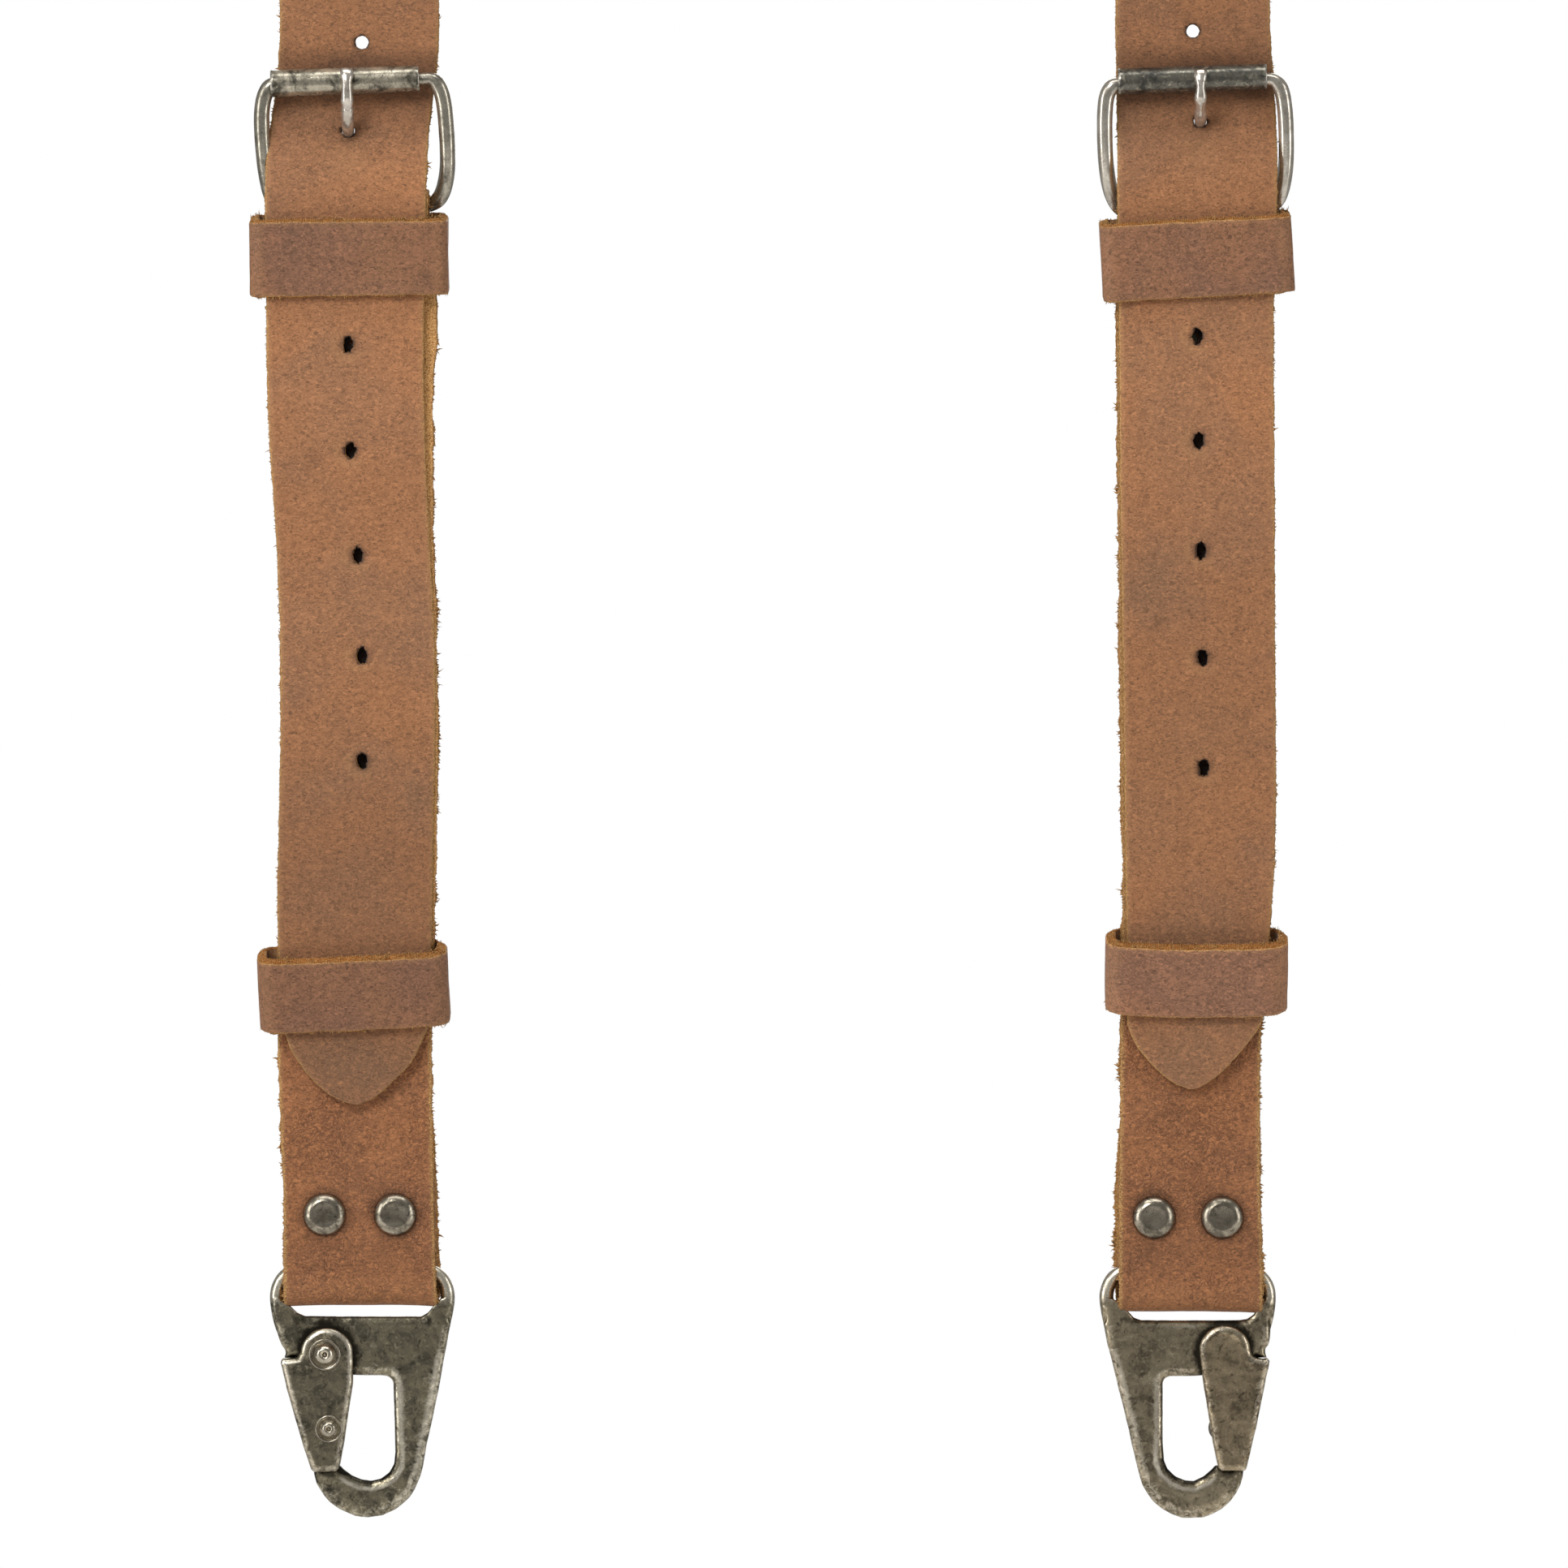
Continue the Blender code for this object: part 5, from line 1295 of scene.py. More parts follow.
HOOKS = {
    "left": dict(
        right=((556, 1630), (553.5, 1640), (550, 1660), (543, 1700), (535, 1740), (526, 1780), (522, 1804), (518, 1820), (511, 1836), (506, 1844), (498, 1852), (488, 1860), (472, 1867.5), (454, 1870)),
        low=((438, 1868.5), (418, 1860), (406, 1851), (399, 1843), (394, 1835), (390, 1828), (387, 1817)),
        tip=((386.5, 1808), (419, 1806)),
        eye=((424, 1811.5), (434, 1818.5), (446, 1823.5), (458, 1825), (470, 1822), (480, 1814.5), (486, 1804), (487.5, 1790), (486.5, 1750), (485, 1704), (483, 1699.5), (478.5, 1696), (472, 1695)),
        nose=((438, 1694.5), (404, 1694), (380, 1700), (369, 1702), (364.5, 1690), (363, 1673.6), (350, 1673.6), (352.3, 1668), (351.5, 1663.5), (348, 1659), (344, 1650), (341, 1640)),
        top=((338.5, 1628), (337, 1612), (337.5, 1601), (343, 1600), (356.5, 1608.5), (366, 1617.5), (376, 1622), (520, 1622.5), (528, 1617.5), (535, 1608.5), (544, 1600), (550, 1601), (552, 1612), (554, 1626)),
        skip=1,
        loop=((15.0, 32.5), (15.75, 36.0), (16.2, 38.5), (16.9, 41.0), (17.35, 44.2), (17.1, 46.4), (16.2, 48.2), (14.8, 49.4), (13.2, 49.8)),
        shift=0.0,
        head=(403, 1668.5, 32.5),
        gate=((369.5, 1668), (366.5, 1673), (361, 1673.8), (352, 1674.6), (347.5, 1674.2), (346, 1679), (348, 1687), (354, 1712), (364, 1748), (373.5, 1780), (382, 1806), (384, 1811), (387.5, 1814), (414, 1813.5), (418, 1810), (420, 1800), (424.5, 1775), (429.5, 1740), (435, 1705)),
        inner=((460, 1850), (398, 1850), (396.5, 1815), (385, 1778), (368, 1720), (357.5, 1687), (300, 1687), (300, 1600), (460, 1600)),
    ),
    "right": dict(
        right=((552.5, 1632), (550.6, 1640), (547.6, 1656), (543.6, 1672), (539.6, 1688), (536.6, 1700), (531.6, 1720), (526.6, 1740), (521.6, 1760), (517.6, 1780), (512.6, 1800), (507.6, 1820), (504.6, 1830), (498.6, 1840), (491.6, 1850), (479.6, 1860), (468.6, 1866), (456, 1870.5)),
        low=((430, 1870.5), (417.6, 1866), (406.6, 1860), (395.6, 1850), (388.6, 1840), (383.6, 1830), (380.6, 1820)),
        tip=((379.5, 1808), (414.5, 1806)),
        eye=((418.6, 1811), (428.6, 1819.5), (441, 1825.5), (452, 1824.5), (463.6, 1819.5), (473.5, 1810), (478.0, 1800), (479.6, 1780), (479.6, 1704), (477, 1698.5), (471, 1696)),
        nose=((438, 1695.5), (404, 1694), (384, 1700), (371, 1702), (366.5, 1690), (364, 1673.4), (351, 1673.2), (353, 1667.5), (353, 1662), (349, 1657), (347, 1648), (346.5, 1640)),
        top=((347.5, 1628), (347, 1612), (347, 1602), (352, 1600), (361.5, 1612), (367, 1620), (375.5, 1625.5), (386, 1627), (506, 1627), (515, 1624), (523.5, 1615), (532, 1606), (541, 1601), (548, 1602), (550, 1614), (550, 1626)),
        skip=1,
        loop=((14.5, 32.5), (15.0, 36.0), (15.4, 38.2), (15.9, 40.3), (16.4, 43.2), (16.46, 45.2), (16.0, 47.0), (14.9, 48.7), (13.4, 49.5), (12.2, 49.7)),
        shift=0.34,
        head=(403.2, 1664.5, 31.5),
        gate=((371.5, 1664), (369.5, 1669.5), (365, 1673), (355, 1674.8), (350, 1673.8), (347.8, 1677), (349.5, 1687), (352.6, 1700), (356.6, 1720), (360.6, 1740), (364.6, 1760), (369.6, 1780), (374, 1800), (376.4, 1810), (379, 1812.5), (407, 1812.5), (411, 1809), (413, 1800), (417, 1780), (421, 1755), (425, 1730), (430, 1700)),
        inner=((460, 1850), (393, 1850), (391, 1815), (380.5, 1778), (368, 1730), (359, 1688), (300, 1688), (300, 1600), (460, 1600)),
    ),
}


def build_hook(name, side, placer, body, gate_body):
    k = HOOKS["right" if side == "right" else "left"]
    out = pts(*k["top"], *k["right"], *k["low"], *k["tip"], *k["eye"], *k["nose"])
    # the loop: a round bar that leaves the plate's shoulders and closes over the top
    half = k["loop"]
    loop = [(-x, z) for x, z in half[k["skip"]:]] + [(x, z) for x, z in reversed(half)]
    loop = chaikin(np.array([(x + k["shift"], 0.0, z) for x, z in loop]), 2)
    loop = resample(loop, 0.6)
    along = np.r_[0, np.cumsum(np.linalg.norm(np.diff(loop, axis=0), axis=1))]
    ends = np.clip(np.minimum(along, along[-1] - along) / 3.2, 0, 1)
    loop_v, loop_f = tube(name, loop, 0.75 + 0.67 * np.sin(ends * math.pi / 2), [], k=20)
    plate_v, plate_f = prism(out, -1.5, 1.5)
    obj = skin("hook_plate_" + side, [(plate_v, [plate_f]), (loop_v, loop_f)], [M_HOOK_WARM if side == "right" else M_HOOK], 0.22, 2)
    co = coords(obj.data) * 1000
    # thin the plate towards its outline, in a round: wide along the outside, widest below the eye
    dist = segment_distance(co[:, [0, 2]], out)
    low = np.clip((14.0 - co[:, 2]) / 8.0, 0, 1)
    w = 1.7 + 0.9 * low
    f = 0.30 + 0.70 * np.sqrt(np.clip(1 - (1 - np.clip(dist / w, 0, 1)) ** 2, 0, 1))
    keep = np.clip((co[:, 2] - 39.5) / 3.0, 0, 1)
    co[:, 1] *= f * (1 - keep) + keep
    set_coords(obj.data, co * 0.001)
    polish(obj, 11, dents=0.06, size=3.2, gain=1.9)

    # gate: folded sheet with a rounded head, a thumb nib and two walls
    hcx, hcy, hr = k["head"]
    head = [(hcx + hr * math.cos(math.radians(a)), hcy - hr * math.sin(math.radians(a))) for a in np.linspace(2, 176, 24)]
    gate = pts(*head, *k["gate"])
    # painted shade on the plate beside the gate, under the slot and inside the bottom of the eye; painted highlights
    # along the rims, on the right arm's facet, outside the eye's lower edge and on the loop's top
    co = coords(obj.data) * 1000
    dg = segment_distance(co[:, [0, 2]], gate)
    ds = segment_distance(co[:, [0, 2]], out)
    wr = np.empty(len(co), np.float32)
    at = obj.data.attributes["wear_and_painted_light"]
    at.data.foreach_get("value", wr)
    rim_highlight = np.exp(-(((ds - 1.35) / 0.55) ** 2)) * (0.55 + 0.6 * fbm(co, 5.0, 15, 2))
    # painted shade under the slot
    slot = np.clip(1 - np.abs(co[:, 2] - 40.0) / 1.3, 0, 1) * (np.abs(co[:, 0]) < 14)
    facet_highlight = np.exp(-(((ds - 1.3) / 0.85) ** 2)) * (co[:, 0] > 6) * (0.8 + 0.5 * fbm(co, 6.0, 16, 2))
    de = segment_distance(co[:, [0, 2]], pts(*k["eye"]))
    bend = np.clip((15.5 - co[:, 2]) / 4.0, 0, 1)
    # painted highlight on the loop's top, then painted shade inside the bottom of the eye with a painted highlight just
    # outside it
    wr = wr + 0.30 * np.clip((co[:, 2] - 42.5) / 3.0, 0, 1)
    wr = wr - 0.55 * bend * np.exp(-((de / 0.95) ** 4)) + 0.42 * bend * np.exp(-(((de - 1.75) / 0.42) ** 2)) * np.clip(0.8 + 0.8 * vnoise(co, 3.0, 18), 0, 1.2)
    wr = wr + 0.20 * rim_highlight * (co[:, 2] < 39) + (0.12 if side == "right" else 0.20) * facet_highlight * (co[:, 2] < 34) - 0.55 * np.exp(-((dg / 1.25) ** 2)) - 0.35 * slot
    at.data.foreach_set("value", np.clip(wr, 0, 1).astype(np.float32))
    into_row(obj, placer)
    take(obj, body, "hook_metal", "hook_frame_" + side)

    gv, gf = prism(gate, -2.75, 2.75)
    iv, if_ = prism(pts(*k["inner"]), -1.85, 1.85)
    obj = skin("hook_gate_skin_" + side, [(gv, [gf])], [M_GATE_WARM if side == "right" else M_GATE], 0.19, 2, cut=[(iv, if_)])
    co = coords(obj.data) * 1000
    dist = segment_distance(co[:, [0, 2]], gate)
    outer = np.abs(co[:, 1]) > 1.9
    crown = np.sqrt(np.clip(1 - (1 - np.clip(dist / 1.4, 0, 1)) ** 2, 0, 1))
    lift = 0.12 * np.exp(-(((dist - 1.2) / 0.8) ** 2))
    co[:, 1] = np.where(outer, np.sign(co[:, 1]) * (1.9 + (np.abs(co[:, 1]) - 1.9) * (0.12 + 0.88 * crown) + lift), co[:, 1])
    set_coords(obj.data, co * 0.001)
    polish(obj, 23, dents=0.05, size=2.6, gain=1.8)
    co = coords(obj.data) * 1000
    at = obj.data.attributes["wear_and_painted_light"]
    wr = np.empty(len(co), np.float32)
    at.data.foreach_get("value", wr)
    # painted highlight along the gate's rims on its outer faces, stronger towards the head
    rim_highlight = np.exp(-(((segment_distance(co[:, [0, 2]], gate) - 0.75) / 0.42) ** 2)) * (0.75 + 0.5 * fbm(co, 4.0, 19, 2))
    wr = wr + (0.16 if side == "right" else 0.34) * rim_highlight * (np.abs(co[:, 1]) > 1.9) * np.interp(co[:, 2], [12, 25, 33], [0.45, 0.7, 1.0])
    at.data.foreach_set("value", np.clip(wr, 0, 1).astype(np.float32))
    into_row(obj, placer)
    take(obj, gate_body, "hook_metal", "hook_gate_" + side)

    # rivets: a stepped head, dished, with a raised ring round a punched centre
    for label, cx, cz, r, node, bd in (
        ("gate_pivot_head_", 400.5, 1669.0, 2.5, "gate_pivot_", body),
        ("gate_cross_head_", 405.5, 1760.5, 2.1, "gate_cross_rivet_", gate_body),
    ):
        x, z = float(hx(cx)), float(hz(cz))
        q = 1.28 if label.startswith("gate_pivot") else 1.10
        prof = [(0, 0.55), (0.18, 0.55), (0.30, 0.75), (0.38, 1.38), (0.55, 1.58), (0.80, 1.62), (1.05, 1.50), (1.38, 1.10), (1.66, 0.62), (1.86, 0.24), (1.98, 0.10), (2.1, 0.16), (2.24, 0.34), (2.42, 0.34), (2.56, 0.10), (2.56, -0.02)]
        prof = [(a * q, b) for a, b in prof] + [(1.2 if q > 1.0 else 0.9, -0.04), (1.2 if q > 1.0 else 0.9, -5.3), (0, -5.3)]
        V, F = revolve(prof, 48)
        V = np.stack([V[:, 0] + x, -2.72 - V[:, 2], V[:, 1] + z], 1)
        F = [f[:, ::-1] for f in F]
        ob = build(label + side, V, F, [M_PIN], angle=60, to_row=False)
        set_coords(ob.data, coords(ob.data) * 0.001)
        polish(ob, 31, dents=0.006, size=1.6, gain=0.8, smooth=1)
        into_row(ob, placer)
        take(ob, bd, "rivet_metal", node + side)


def spring_look(side):
    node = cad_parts["gate_spring_" + side]
    me = node.data
    me.materials.clear()
    me.materials.append(M_SPRING)


# ------------------------------------------------------------------ cap rivets
def cap(name, place, nodes, seed, tilt=0.0):
    """A domed cap with a slightly dished flat top, on a shank with a flat washer head inside."""
    prof = [(0, 1.50), (1.0, 1.51), (1.8, 1.54), (2.3, 1.61), (2.65, 1.62), (2.95, 1.54), (3.3, 1.36), (3.65, 1.12), (3.95, 0.84), (4.18, 0.52), (4.32, 0.22), (4.36, 0.02), (4.2, -0.12), (1.5, -0.12), (1.5, -5.0), (4.0, -5.0), (4.0, -5.3), (3.7, -5.7), (2.5, -5.85), (0, -5.85)]
    V, F = revolve(prof, 64)
    P = place(V)
    obj = build(name, P, F, [M_RIVET], angle=50)
    polish(obj, seed, dents=0.03, size=2.6, gain=1.5, smooth=2)
    take(obj, "straps", "rivet_metal", *nodes)
    return obj


def front_rivet(x, z, surface=-1.1):
    def place(V):
        return np.stack([x + V[:, 0], surface - V[:, 2], z - V[:, 1]], 1)
    return place


def back_rivet(x, z, surface):
    def place(V):
        return np.stack([x - V[:, 0], surface + V[:, 2], z - V[:, 1]], 1)
    return place


# ------------------------------------------------------------------ buckles
FRAME_SHAPE = {
    # half width and drop below the roller's middle, down one side (mm); left side, right side
    "left": ([(14.9, 0.0), (16.3, 0.1), (17.6, 2.1), (18.25, 5.1), (18.4, 8.8), (18.3, 13.2), (18.0, 17.5), (17.4, 21.4), (16.5, 24.0), (15.0, 25.3)],
             [(14.9, 0.0), (16.6, 0.0), (17.9, 1.8), (18.6, 4.7), (18.85, 9.2), (18.95, 14.0), (18.75, 18.5), (17.9, 22.2), (16.7, 24.3), (15.0, 25.3)]),
    "right": ([(14.9, 0.0), (16.5, 0.3), (17.7, 2.2), (18.2, 6.0), (18.3, 11.0), (18.2, 16.0), (17.7, 20.0), (16.8, 23.2), (15.8, 25.0), (14.8, 25.3)],
              [(14.9, 0.0), (16.5, 0.3), (17.8, 2.2), (18.3, 6.0), (18.4, 11.0), (18.3, 16.0), (17.8, 20.0), (16.9, 23.2), (15.8, 25.0), (14.8, 25.3)]),
}
FRAME_TURN = {"left": 2.1, "right": 1.95}
FRAME_MID = {"left": 436.0, "right": 1473.0}
ROLLER_MID = {"left": 428.5, "right": 1471.5}


def buckle(side):
    mid = float(sx(FRAME_MID[side]))
    turn = math.radians(FRAME_TURN[side])
    zc = (ROLLER_Z + HEEL_Z) / 2

    def turned(P):
        P = np.asarray(P, float)
        x, z = P[:, 0] - mid, P[:, 2] - zc
        return np.stack([mid + x * math.cos(turn) - z * math.sin(turn), P[:, 1], zc + x * math.sin(turn) + z * math.cos(turn)], 1)

    ls, rs = FRAME_SHAPE[side]
    L = [(-w, d) for w, d in ls][::-1]
    R = [(w, d) for w, d in rs]
    loop2 = np.array(R + L)[::-1]
    # keep both straight bars straight
    bar = np.linspace(-15.0, 15.0, 9)
    ring = [(w, d) for w, d in rs] + [(x, 25.3) for x in bar[::-1]] + [(-w, d) for w, d in ls][::-1] + [(x, 0.0) for x in bar]
    ring = np.array(ring)
    y = ROLLER_Y + (HEEL_Y - ROLLER_Y) * np.clip(ring[:, 1] / 25.3, 0, 1)
    # the sides belly out a little towards the viewer
    y = y - 0.9 * np.sin(np.clip(ring[:, 1] / 25.3, 0, 1) * math.pi)
    P = np.stack([mid + ring[:, 0], y, ROLLER_Z - ring[:, 1]], 1)
    P = turned(P)
    P = chaikin(P, 2, closed=True)
    P = resample(np.vstack([P, P[:1]]), 0.5)[:-1]
    sides = np.clip((np.abs(P[:, 0] - mid) - 15.5) / 1.5, 0, 1)
    V, F = tube("f", P, 1.32 + 0.27 * sides, [], k=28, closed=True)
    obj = build("buckle_wire_" + side, V, F, [M_BUCKLE if side == "left" else M_BUCKLE_PAINTED_LIGHT])
    polish(obj, 41 if side == "left" else 47, dents=0.03, size=3.4, gain=1.0)
    take(obj, "buckle_" + side, "buckle_metal", "buckle_frame_" + side)

    # roller: a rolled tube with rims and an open bore
    rl, rr = (2.76, 2.62) if side == "left" else (2.60, 2.56)
    xs = np.r_[-15.0, np.linspace(-14.8, 14.8, 75), 15.0]
    rad = np.interp(xs, [-15, 15], [rl, rr])
    rad[0] -= 0.2
    rad[-1] -= 0.2
    prof = [(0.0, 0.0)] + [(float(a), float(b)) for a, b in zip(rad, xs)] + [(2.1, 14.9), (1.95, 14.6)] + [(1.9, float(v)) for v in np.linspace(14.0, -14.0, 9)] + [(1.95, -14.6), (2.1, -14.9)]
    k = 40
    th = np.linspace(0, 2 * math.pi, k, endpoint=False)
    pr = np.array(prof[1:])
    V = np.stack([np.repeat(pr[:, 1][:, None], k, 1), pr[:, 0][:, None] * np.cos(th), pr[:, 0][:, None] * np.sin(th)], -1)
    Vf = V.reshape(-1, 3)
    F = ring_faces(len(pr), k, cyclic=True)
    if volume(Vf, F) < 0:
        F = F[:, ::-1]
    Vf = turned(Vf + np.array([mid, ROLLER_Y, ROLLER_Z])) + np.array([float(sx(ROLLER_MID[side])) - mid, 0, 0.12 if side == "left" else 0.52])
    obj = build("buckle_roller_tube_" + side, Vf, [F], [M_ROLLER if side == "left" else M_ROLLER_PAINTED_SHADE], angle=50)
    polish(obj, 53 if side == "left" else 59, dents=0.07, size=4.5, gain=1.0, smooth=2)
    take(obj, "roller_" + side, "buckle_metal", "buckle_roller_" + side)

    # prong: ring round the heel bar, a shank behind the strap, through the hole, flattened over the roller
    px = float(sx(PRONG_AT[side][0]))
    hx0 = BUCKLE_X[side]
    path = []
    for i in range(19):
        a = math.radians(58 + (322 - 58) * i / 18)
        path.append((hx0, HEEL_Y + 2.55 * math.sin(a), HEEL_Z + 2.55 * math.cos(a), 0.82, 1.0, 1.0))
    up = float(sz(PRONG_AT[side][1]))  # where it leaves the strap
    tail = [(1.9, 269.2, 1.1, 1, 1), (2.0, 272.0, 1.25, 1, 1), (1.9, up - 1.6, 1.22, 1, 1), (1.5, up + 0.4, 1.2, 1, 1), (0.2, up + 0.95, 1.2, 1, 1), (-1.6, up + 1.0, 1.22, 1, 1), (-2.7, up + 1.35, 1.24, 1, 1), (-3.6, up + 1.9, 1.26, 1, 1), (-4.4, up + 2.55, 1.28, 1, 1)]
    if side == "left":
        tail += [(-5.1, up + 3.35, 1.3, 1, 1), (-5.8, 283.4, 1.3, 1, 1), (-6.5, 284.6, 1.3, 1, 1), (-6.95, 285.2, 1.12, 0.9, 0.98), (-7.3, 285.8, 1.3, 0.9, 1.06), (-7.9, 287.0, 1.22, 0.85, 1.0),
                 (-8.2, 288.4, 1.08, 0.82, 0.95), (-8.2, 289.9, 1.0, 0.8, 1.0), (-8.0, 291.0, 1.1, 0.72, 1.15), (-7.6, 291.9, 1.15, 0.6, 1.25), (-7.1, 292.5, 1.05, 0.5, 1.3)]
    else:
        tail += [(-5.2, up + 3.2, 1.15, 1, 0.98), (-6.3, up + 4.1, 1.06, 0.95, 0.92), (-7.0, up + 4.95, 1.22, 0.92, 1.0), (-7.7, 286.8, 1.3, 0.85, 1.02), (-8.05, 288.0, 1.12, 0.82, 0.9),
                 (-8.2, 289.0, 0.98, 0.82, 0.88), (-8.15, 290.2, 1.1, 0.78, 1.05), (-7.95, 291.3, 1.15, 0.66, 1.15), (-7.5, 292.2, 1.05, 0.55, 1.2)]
    for y, z, r, a, b in tail:
        f = min(max((z - 268.0) / 7.0, 0), 1)
        x = hx0 * (1 - f) + px * f
        path.append((x + max(z - 280, 0) * -0.012, y, z, r, a, b))
    P = np.array(path)
    P = resample(chaikin(P, 2), 0.35)
    V, F = tube("p", P[:, :3], P[:, 3], [], k=22, squash=P[:, 4:6])
    obj = build("buckle_prong_wire_" + side, V, F, [M_PRONG])
    polish(obj, 61 if side == "left" else 67, dents=0.035, size=1.8, gain=1.0)
    take(obj, "prong_" + side, "buckle_metal", "buckle_prong_" + side)


# ------------------------------------------------------------------ yoke
def yoke():
    half = [(17.0, 470.0), (19.5, 486.0), (26.0, 503.0), (36.0, 524.0), (43.0, 546.0), (45.5, 557.0), (43.5, 561.0), (38.0, 562.3), (30.0, 562.0), (12.0, 555.0)]
    out = np.array(half + [(-x, z) for x, z in reversed(half)])
    out = chaikin(out, 3, closed=True)
    out = resample(np.vstack([out, out[:1]]), 0.6)[:-1]
    e = fbm(np.stack([out[:, 0], out[:, 0] * 0, out[:, 1]], 1), 1.6, 71, 3) * 0.2
    nrm = np.roll(out, -1, 0) - np.roll(out, 1, 0)
    nrm = unit(np.stack([nrm[:, 1], -nrm[:, 0]], 1))
    out = out + nrm * e[:, None]
    V, F = prism(out, -1.1, 1.1)
    holes = []
    for x, z in yoke_spots():
        th = np.linspace(0, 2 * math.pi, 20, endpoint=False)
        ring = np.stack([x + 1.8 * np.cos(th), z + 1.8 * np.sin(th)], 1)
        holes.append(prism(ring, -3, 3))
    obj = skin("yoke_panel", [(V, [F])], [M_YOKE, M_EDGE, M_FLESH], 0.42, 2, cut=holes)
    me = obj.data
    co = coords(me) * 1000
    co[:, 1] += fbm(co, 18.0, 73, 2) * 0.18
    set_coords(me, row(co + np.array([0, YOKE_Y, 0])))
    me.update()
    no = np.empty(len(me.polygons) * 3)
    me.polygons.foreach_get("normal", no)
    no = no.reshape(-1, 3)
    mi = np.where(no[:, 1] > 0.55, 0, np.where(no[:, 1] < -0.55, 2, 1))
    me.polygons.foreach_set("material_index", mi.astype(np.int32))
    c2 = coords(me) * 1000 + np.array([0, OY, OZ])
    d = segment_distance(c2[:, [0, 2]], out)
    for key, v in (("pale", np.clip(1 - d / 1.0, 0, 1)), ("darkening_and_painted_shade", 0.35 * np.exp(-(((d - 3.2) / 0.5) ** 2))), ("tint", 0.4 * np.clip(vnoise(c2, 15.0, 79), 0, 1)), ("raw", 0.8 * np.clip(1 - d / 0.5, 0, 1)), ("tone_and_painted_light", np.full(len(c2), 0.92))):
        a = me.attributes.new(key, "FLOAT", "POINT")
        a.data.foreach_set("value", v.astype(np.float32))
    rng = np.random.default_rng(81)
    count = 900
    i = rng.integers(0, len(out), count)
    P = np.stack([out[i, 0], YOKE_Y + rng.uniform(-0.9, 0.9, count), out[i, 1]], 1)
    D = unit(np.stack([nrm[i, 0], rng.normal(0, 0.4, count), nrm[i, 1]], 1) + rng.normal(0, 0.35, (count, 3)))
    fz = fibres("yoke_fibres", P, D, np.clip(0.28 * rng.gamma(2.0, 0.5, count), 0.08, 1.0), rng.uniform(0.035, 0.08, count), rng)
    take(obj, "straps", "yoke_leather", "yoke")
    take(fz, "straps", "yoke_leather")


def yoke_spots():
    spots = []
    for centre, inward in ((LEFT_X, 1), (RIGHT_X, -1)):
        for u in YOKE_RIVETS_U:
            p = over_rail(centre + inward * float(drift(np.array([u]))[0]), u)
            spots.append((float(p[0]), float(p[2])))
    spots += [(-7.5, 488.0), (7.5, 488.0)]
    return spots


# ------------------------------------------------------------------ make everything
for side, centre, inward in (("left", LEFT_X, 1), ("right", RIGHT_X, -1)):
    shoulder(side, centre, inward)
    hook_strap(side, body_x=centre + (0.5 if side == "left" else -0.9), nodes=("hook_strap_" + side,), seed=300 if side == "left" else 400, edges=HOOK_EDGES[side], tuck=0.65 if side == "left" else -0.7)
    buckle(side)

keeper("keeper_band_upper_left", "keeper_upper_left", (float(sx(430.2)), 0.0, float(sz(314.5))), 18.1, -4.3, 6.4, 15.0, 7.0, -0.5, 501, "keeper_upper_left", corner=1.5, wall=1.95, wrinkles=True, tone_and_painted_light=0.93)
keeper("keeper_band_upper_right", "keeper_upper_right", (float(sx(1475.0)), 0.0, float(sz(315.5))), 17.4, -4.3, 6.4, 15.4, 7.0, -3.3, 511, "keeper_upper_right", corner=1.5, wall=1.95, tone_and_painted_light=1.0)
keeper("keeper_band_lower_left", "keeper_lower_left", (float(sx(436.3)), 0.0, float(sz(1217.0))), 17.2, -5.8, 2.8, 14.6, 15.0, -2.6, 521, "keeper_lower_left", corner=2.6, bow=0.25, wall=2.0, tone_and_painted_light=0.88, bevel=0.6)
keeper("keeper_band_lower_right", "keeper_lower_right", (float(sx(1474.0)), 0.0, float(sz(1199.0))), 16.4, -6.1, 3.2, 14.6, 18.5, 0.3, 531, "keeper_lower_right", corner=3.2, bow=0.5, wall=2.0, tone_and_painted_light=1.16, bevel=0.6)

for side, xs, z in (("left", (400, 487), 61.3), ("right", (1422, 1506), 60.7)):
    for label, x in zip("ab", xs):
        cap(f"strap_cap_{side}_{label}", front_rivet(float(sx(x)), z), (f"hook_strap_rivet_{side}_{label}",), 600 + ord(label))


def left_place(P):
    return P + np.array([HOOK_X["left"], HOOK_Y, 0.0])


def right_place(P):
    return P * np.array([-1.0, -1.0, 1.0]) + np.array([HOOK_X["right"] + 0.3, HOOK_Y, 0.0])


def rear_hook_place(P):
    return P * np.array([-1.0, -1.0, 1.0]) + np.array([0.0, 2 * RAIL_R - HOOK_Y, REAR_HOOK_Z])


def rear_place(P):
    return P * np.array([-1.0, -1.0, 1.0]) + np.array([0.0, 2 * RAIL_R, REAR_HOOK_Z])


build_hook("hook_left", "left", left_place, "hook_left", "gate_left")
build_hook("hook_right", "right", right_place, "hook_right", "gate_right")
build_hook("hook_rear", "rear", rear_hook_place, "hook_rear", "gate_rear")

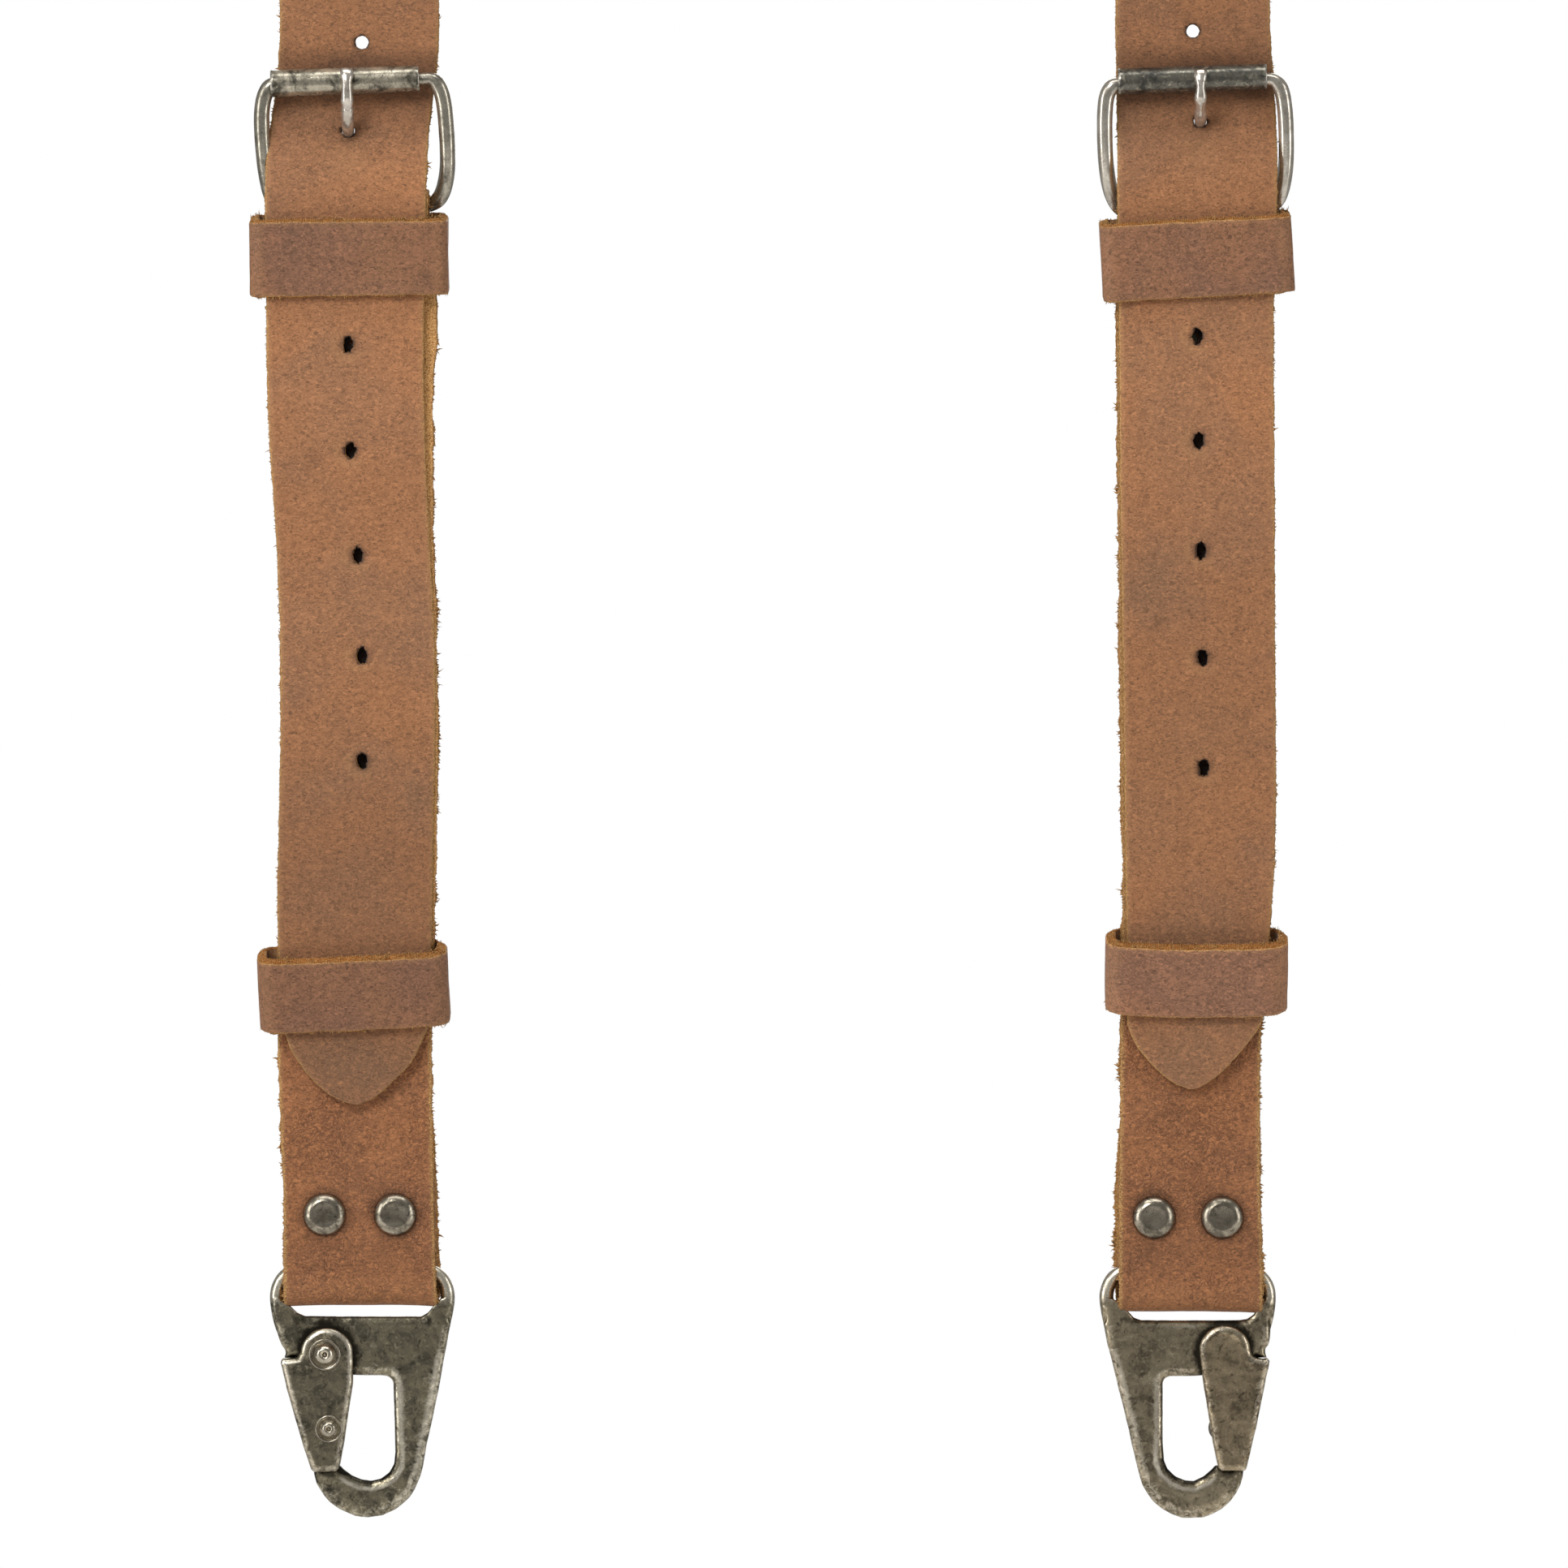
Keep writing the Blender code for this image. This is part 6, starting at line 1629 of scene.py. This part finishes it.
hook_strap("rear", top=504.0 - REAR_HOOK_Z, placer=rear_place, nodes=("rear_strap",), seed=350)
for label, x in (("a", 7.15), ("b", -7.15)):
    cap(f"rear_cap_{label}", back_rivet(x, REAR_HOOK_Z + 61.3, 2 * RAIL_R + 1.1), (f"rear_strap_rivet_{label}",), 620 + ord(label))
yoke()
names = ["yoke_rivet_left_a", "yoke_rivet_left_b", "yoke_rivet_right_a", "yoke_rivet_right_b", "yoke_rivet_rear_left", "yoke_rivet_rear_right"]
for node, (x, z) in zip(names, yoke_spots()):
    cap("cap_" + node, back_rivet(x, z, YOKE_Y + 1.1), (node,), 640 + len(node))
for side in ("left", "right"):
    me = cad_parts["buckle_fold_rivet_" + side].data
    me.materials.clear()
    me.materials.append(M_RIVET)
for side in ("left", "right", "rear"):
    spring_look(side)

# ------------------------------------------------------------------ camera, light and floor
scene = bpy.context.scene
cam = bpy.data.objects.new("camera", bpy.data.cameras.new("camera"))
cam.data.sensor_width = 36.0
DIST = 3.2
half = 158.4 * 0.001
cam.data.lens = 18.0 / (half / DIST)
cam.data.clip_end = 50
target = row(np.array([1.5, -1.0, 148.3]))
cam.location = Vector(target) + Vector((0, -DIST, 0))
cam.rotation_euler = (math.radians(90), 0, 0)
scene.collection.objects.link(cam)
scene.camera = cam

world = bpy.data.worlds.new("studio")
scene.world = world
world.use_nodes = True
wt = world.node_tree
bg = wt.nodes["Background"]
bg.inputs["Color"].default_value = (1, 1, 1, 1)
bg.inputs["Strength"].default_value = 1.0
soft = wt.nodes.new("ShaderNodeBackground")
soft.inputs["Color"].default_value = (1.0, 0.99, 0.98, 1)
soft.inputs["Strength"].default_value = 0.26
path = wt.nodes.new("ShaderNodeLightPath")
mixer = wt.nodes.new("ShaderNodeMixShader")
wt.links.new(path.outputs["Is Camera Ray"], mixer.inputs["Fac"])
wt.links.new(soft.outputs[0], mixer.inputs[1])
wt.links.new(bg.outputs[0], mixer.inputs[2])
wt.links.new(mixer.outputs[0], wt.nodes["World Output"].inputs["Surface"])


def area(name, place, look, size, power, color=(1, 1, 1)):
    data = bpy.data.lights.new(name, "AREA")
    data.shape = "RECTANGLE"
    data.size, data.size_y = size
    data.energy = power
    data.color = color
    obj = bpy.data.objects.new(name, data)
    obj.location = Vector(place)
    obj.rotation_euler = (Vector(look) - Vector(place)).to_track_quat("-Z", "Y").to_euler()
    scene.collection.objects.link(obj)


aim = (0.0, 0.0, -0.48)
area("key", (-0.75, -1.45, 0.55), aim, (0.8, 0.8), 17)
area("left_strip", (-1.35, -0.75, -0.45), aim, (0.5, 1.5), 9)
area("right_strip", (1.4, -0.7, -0.45), aim, (0.45, 1.5), 6)
area("top", (0.0, -0.45, 0.85), aim, (1.5, 0.5), 7)
area("low_front", (0.0, -1.3, -1.45), aim, (1.2, 0.35), 4)
area("back_fill", (0.3, 1.8, 0.3), aim, (1.4, 1.4), 13)

floor = bpy.data.meshes.new("floor")
bm = bmesh.new()
bmesh.ops.create_circle(bm, cap_ends=True, segments=96, radius=0.62)
bm.to_mesh(floor)
bm.free()
floor_obj = bpy.data.objects.new("floor", floor)
floor_obj.location = (0, 0.02, -0.70)
scene.collection.objects.link(floor_obj)
fm = Mat("floor_paper")
fm.color(fm.mix(fm.span(fm.noise(60.0), 0.3, 0.7), "f4f2f0", "f4f2f0"))
floor.materials.append(fm.done(Roughness=0.9))

scene.view_settings.view_transform = "Standard"
scene.view_settings.look = "None"
scene.view_settings.exposure = 0.0
scene.view_settings.gamma = 1.0
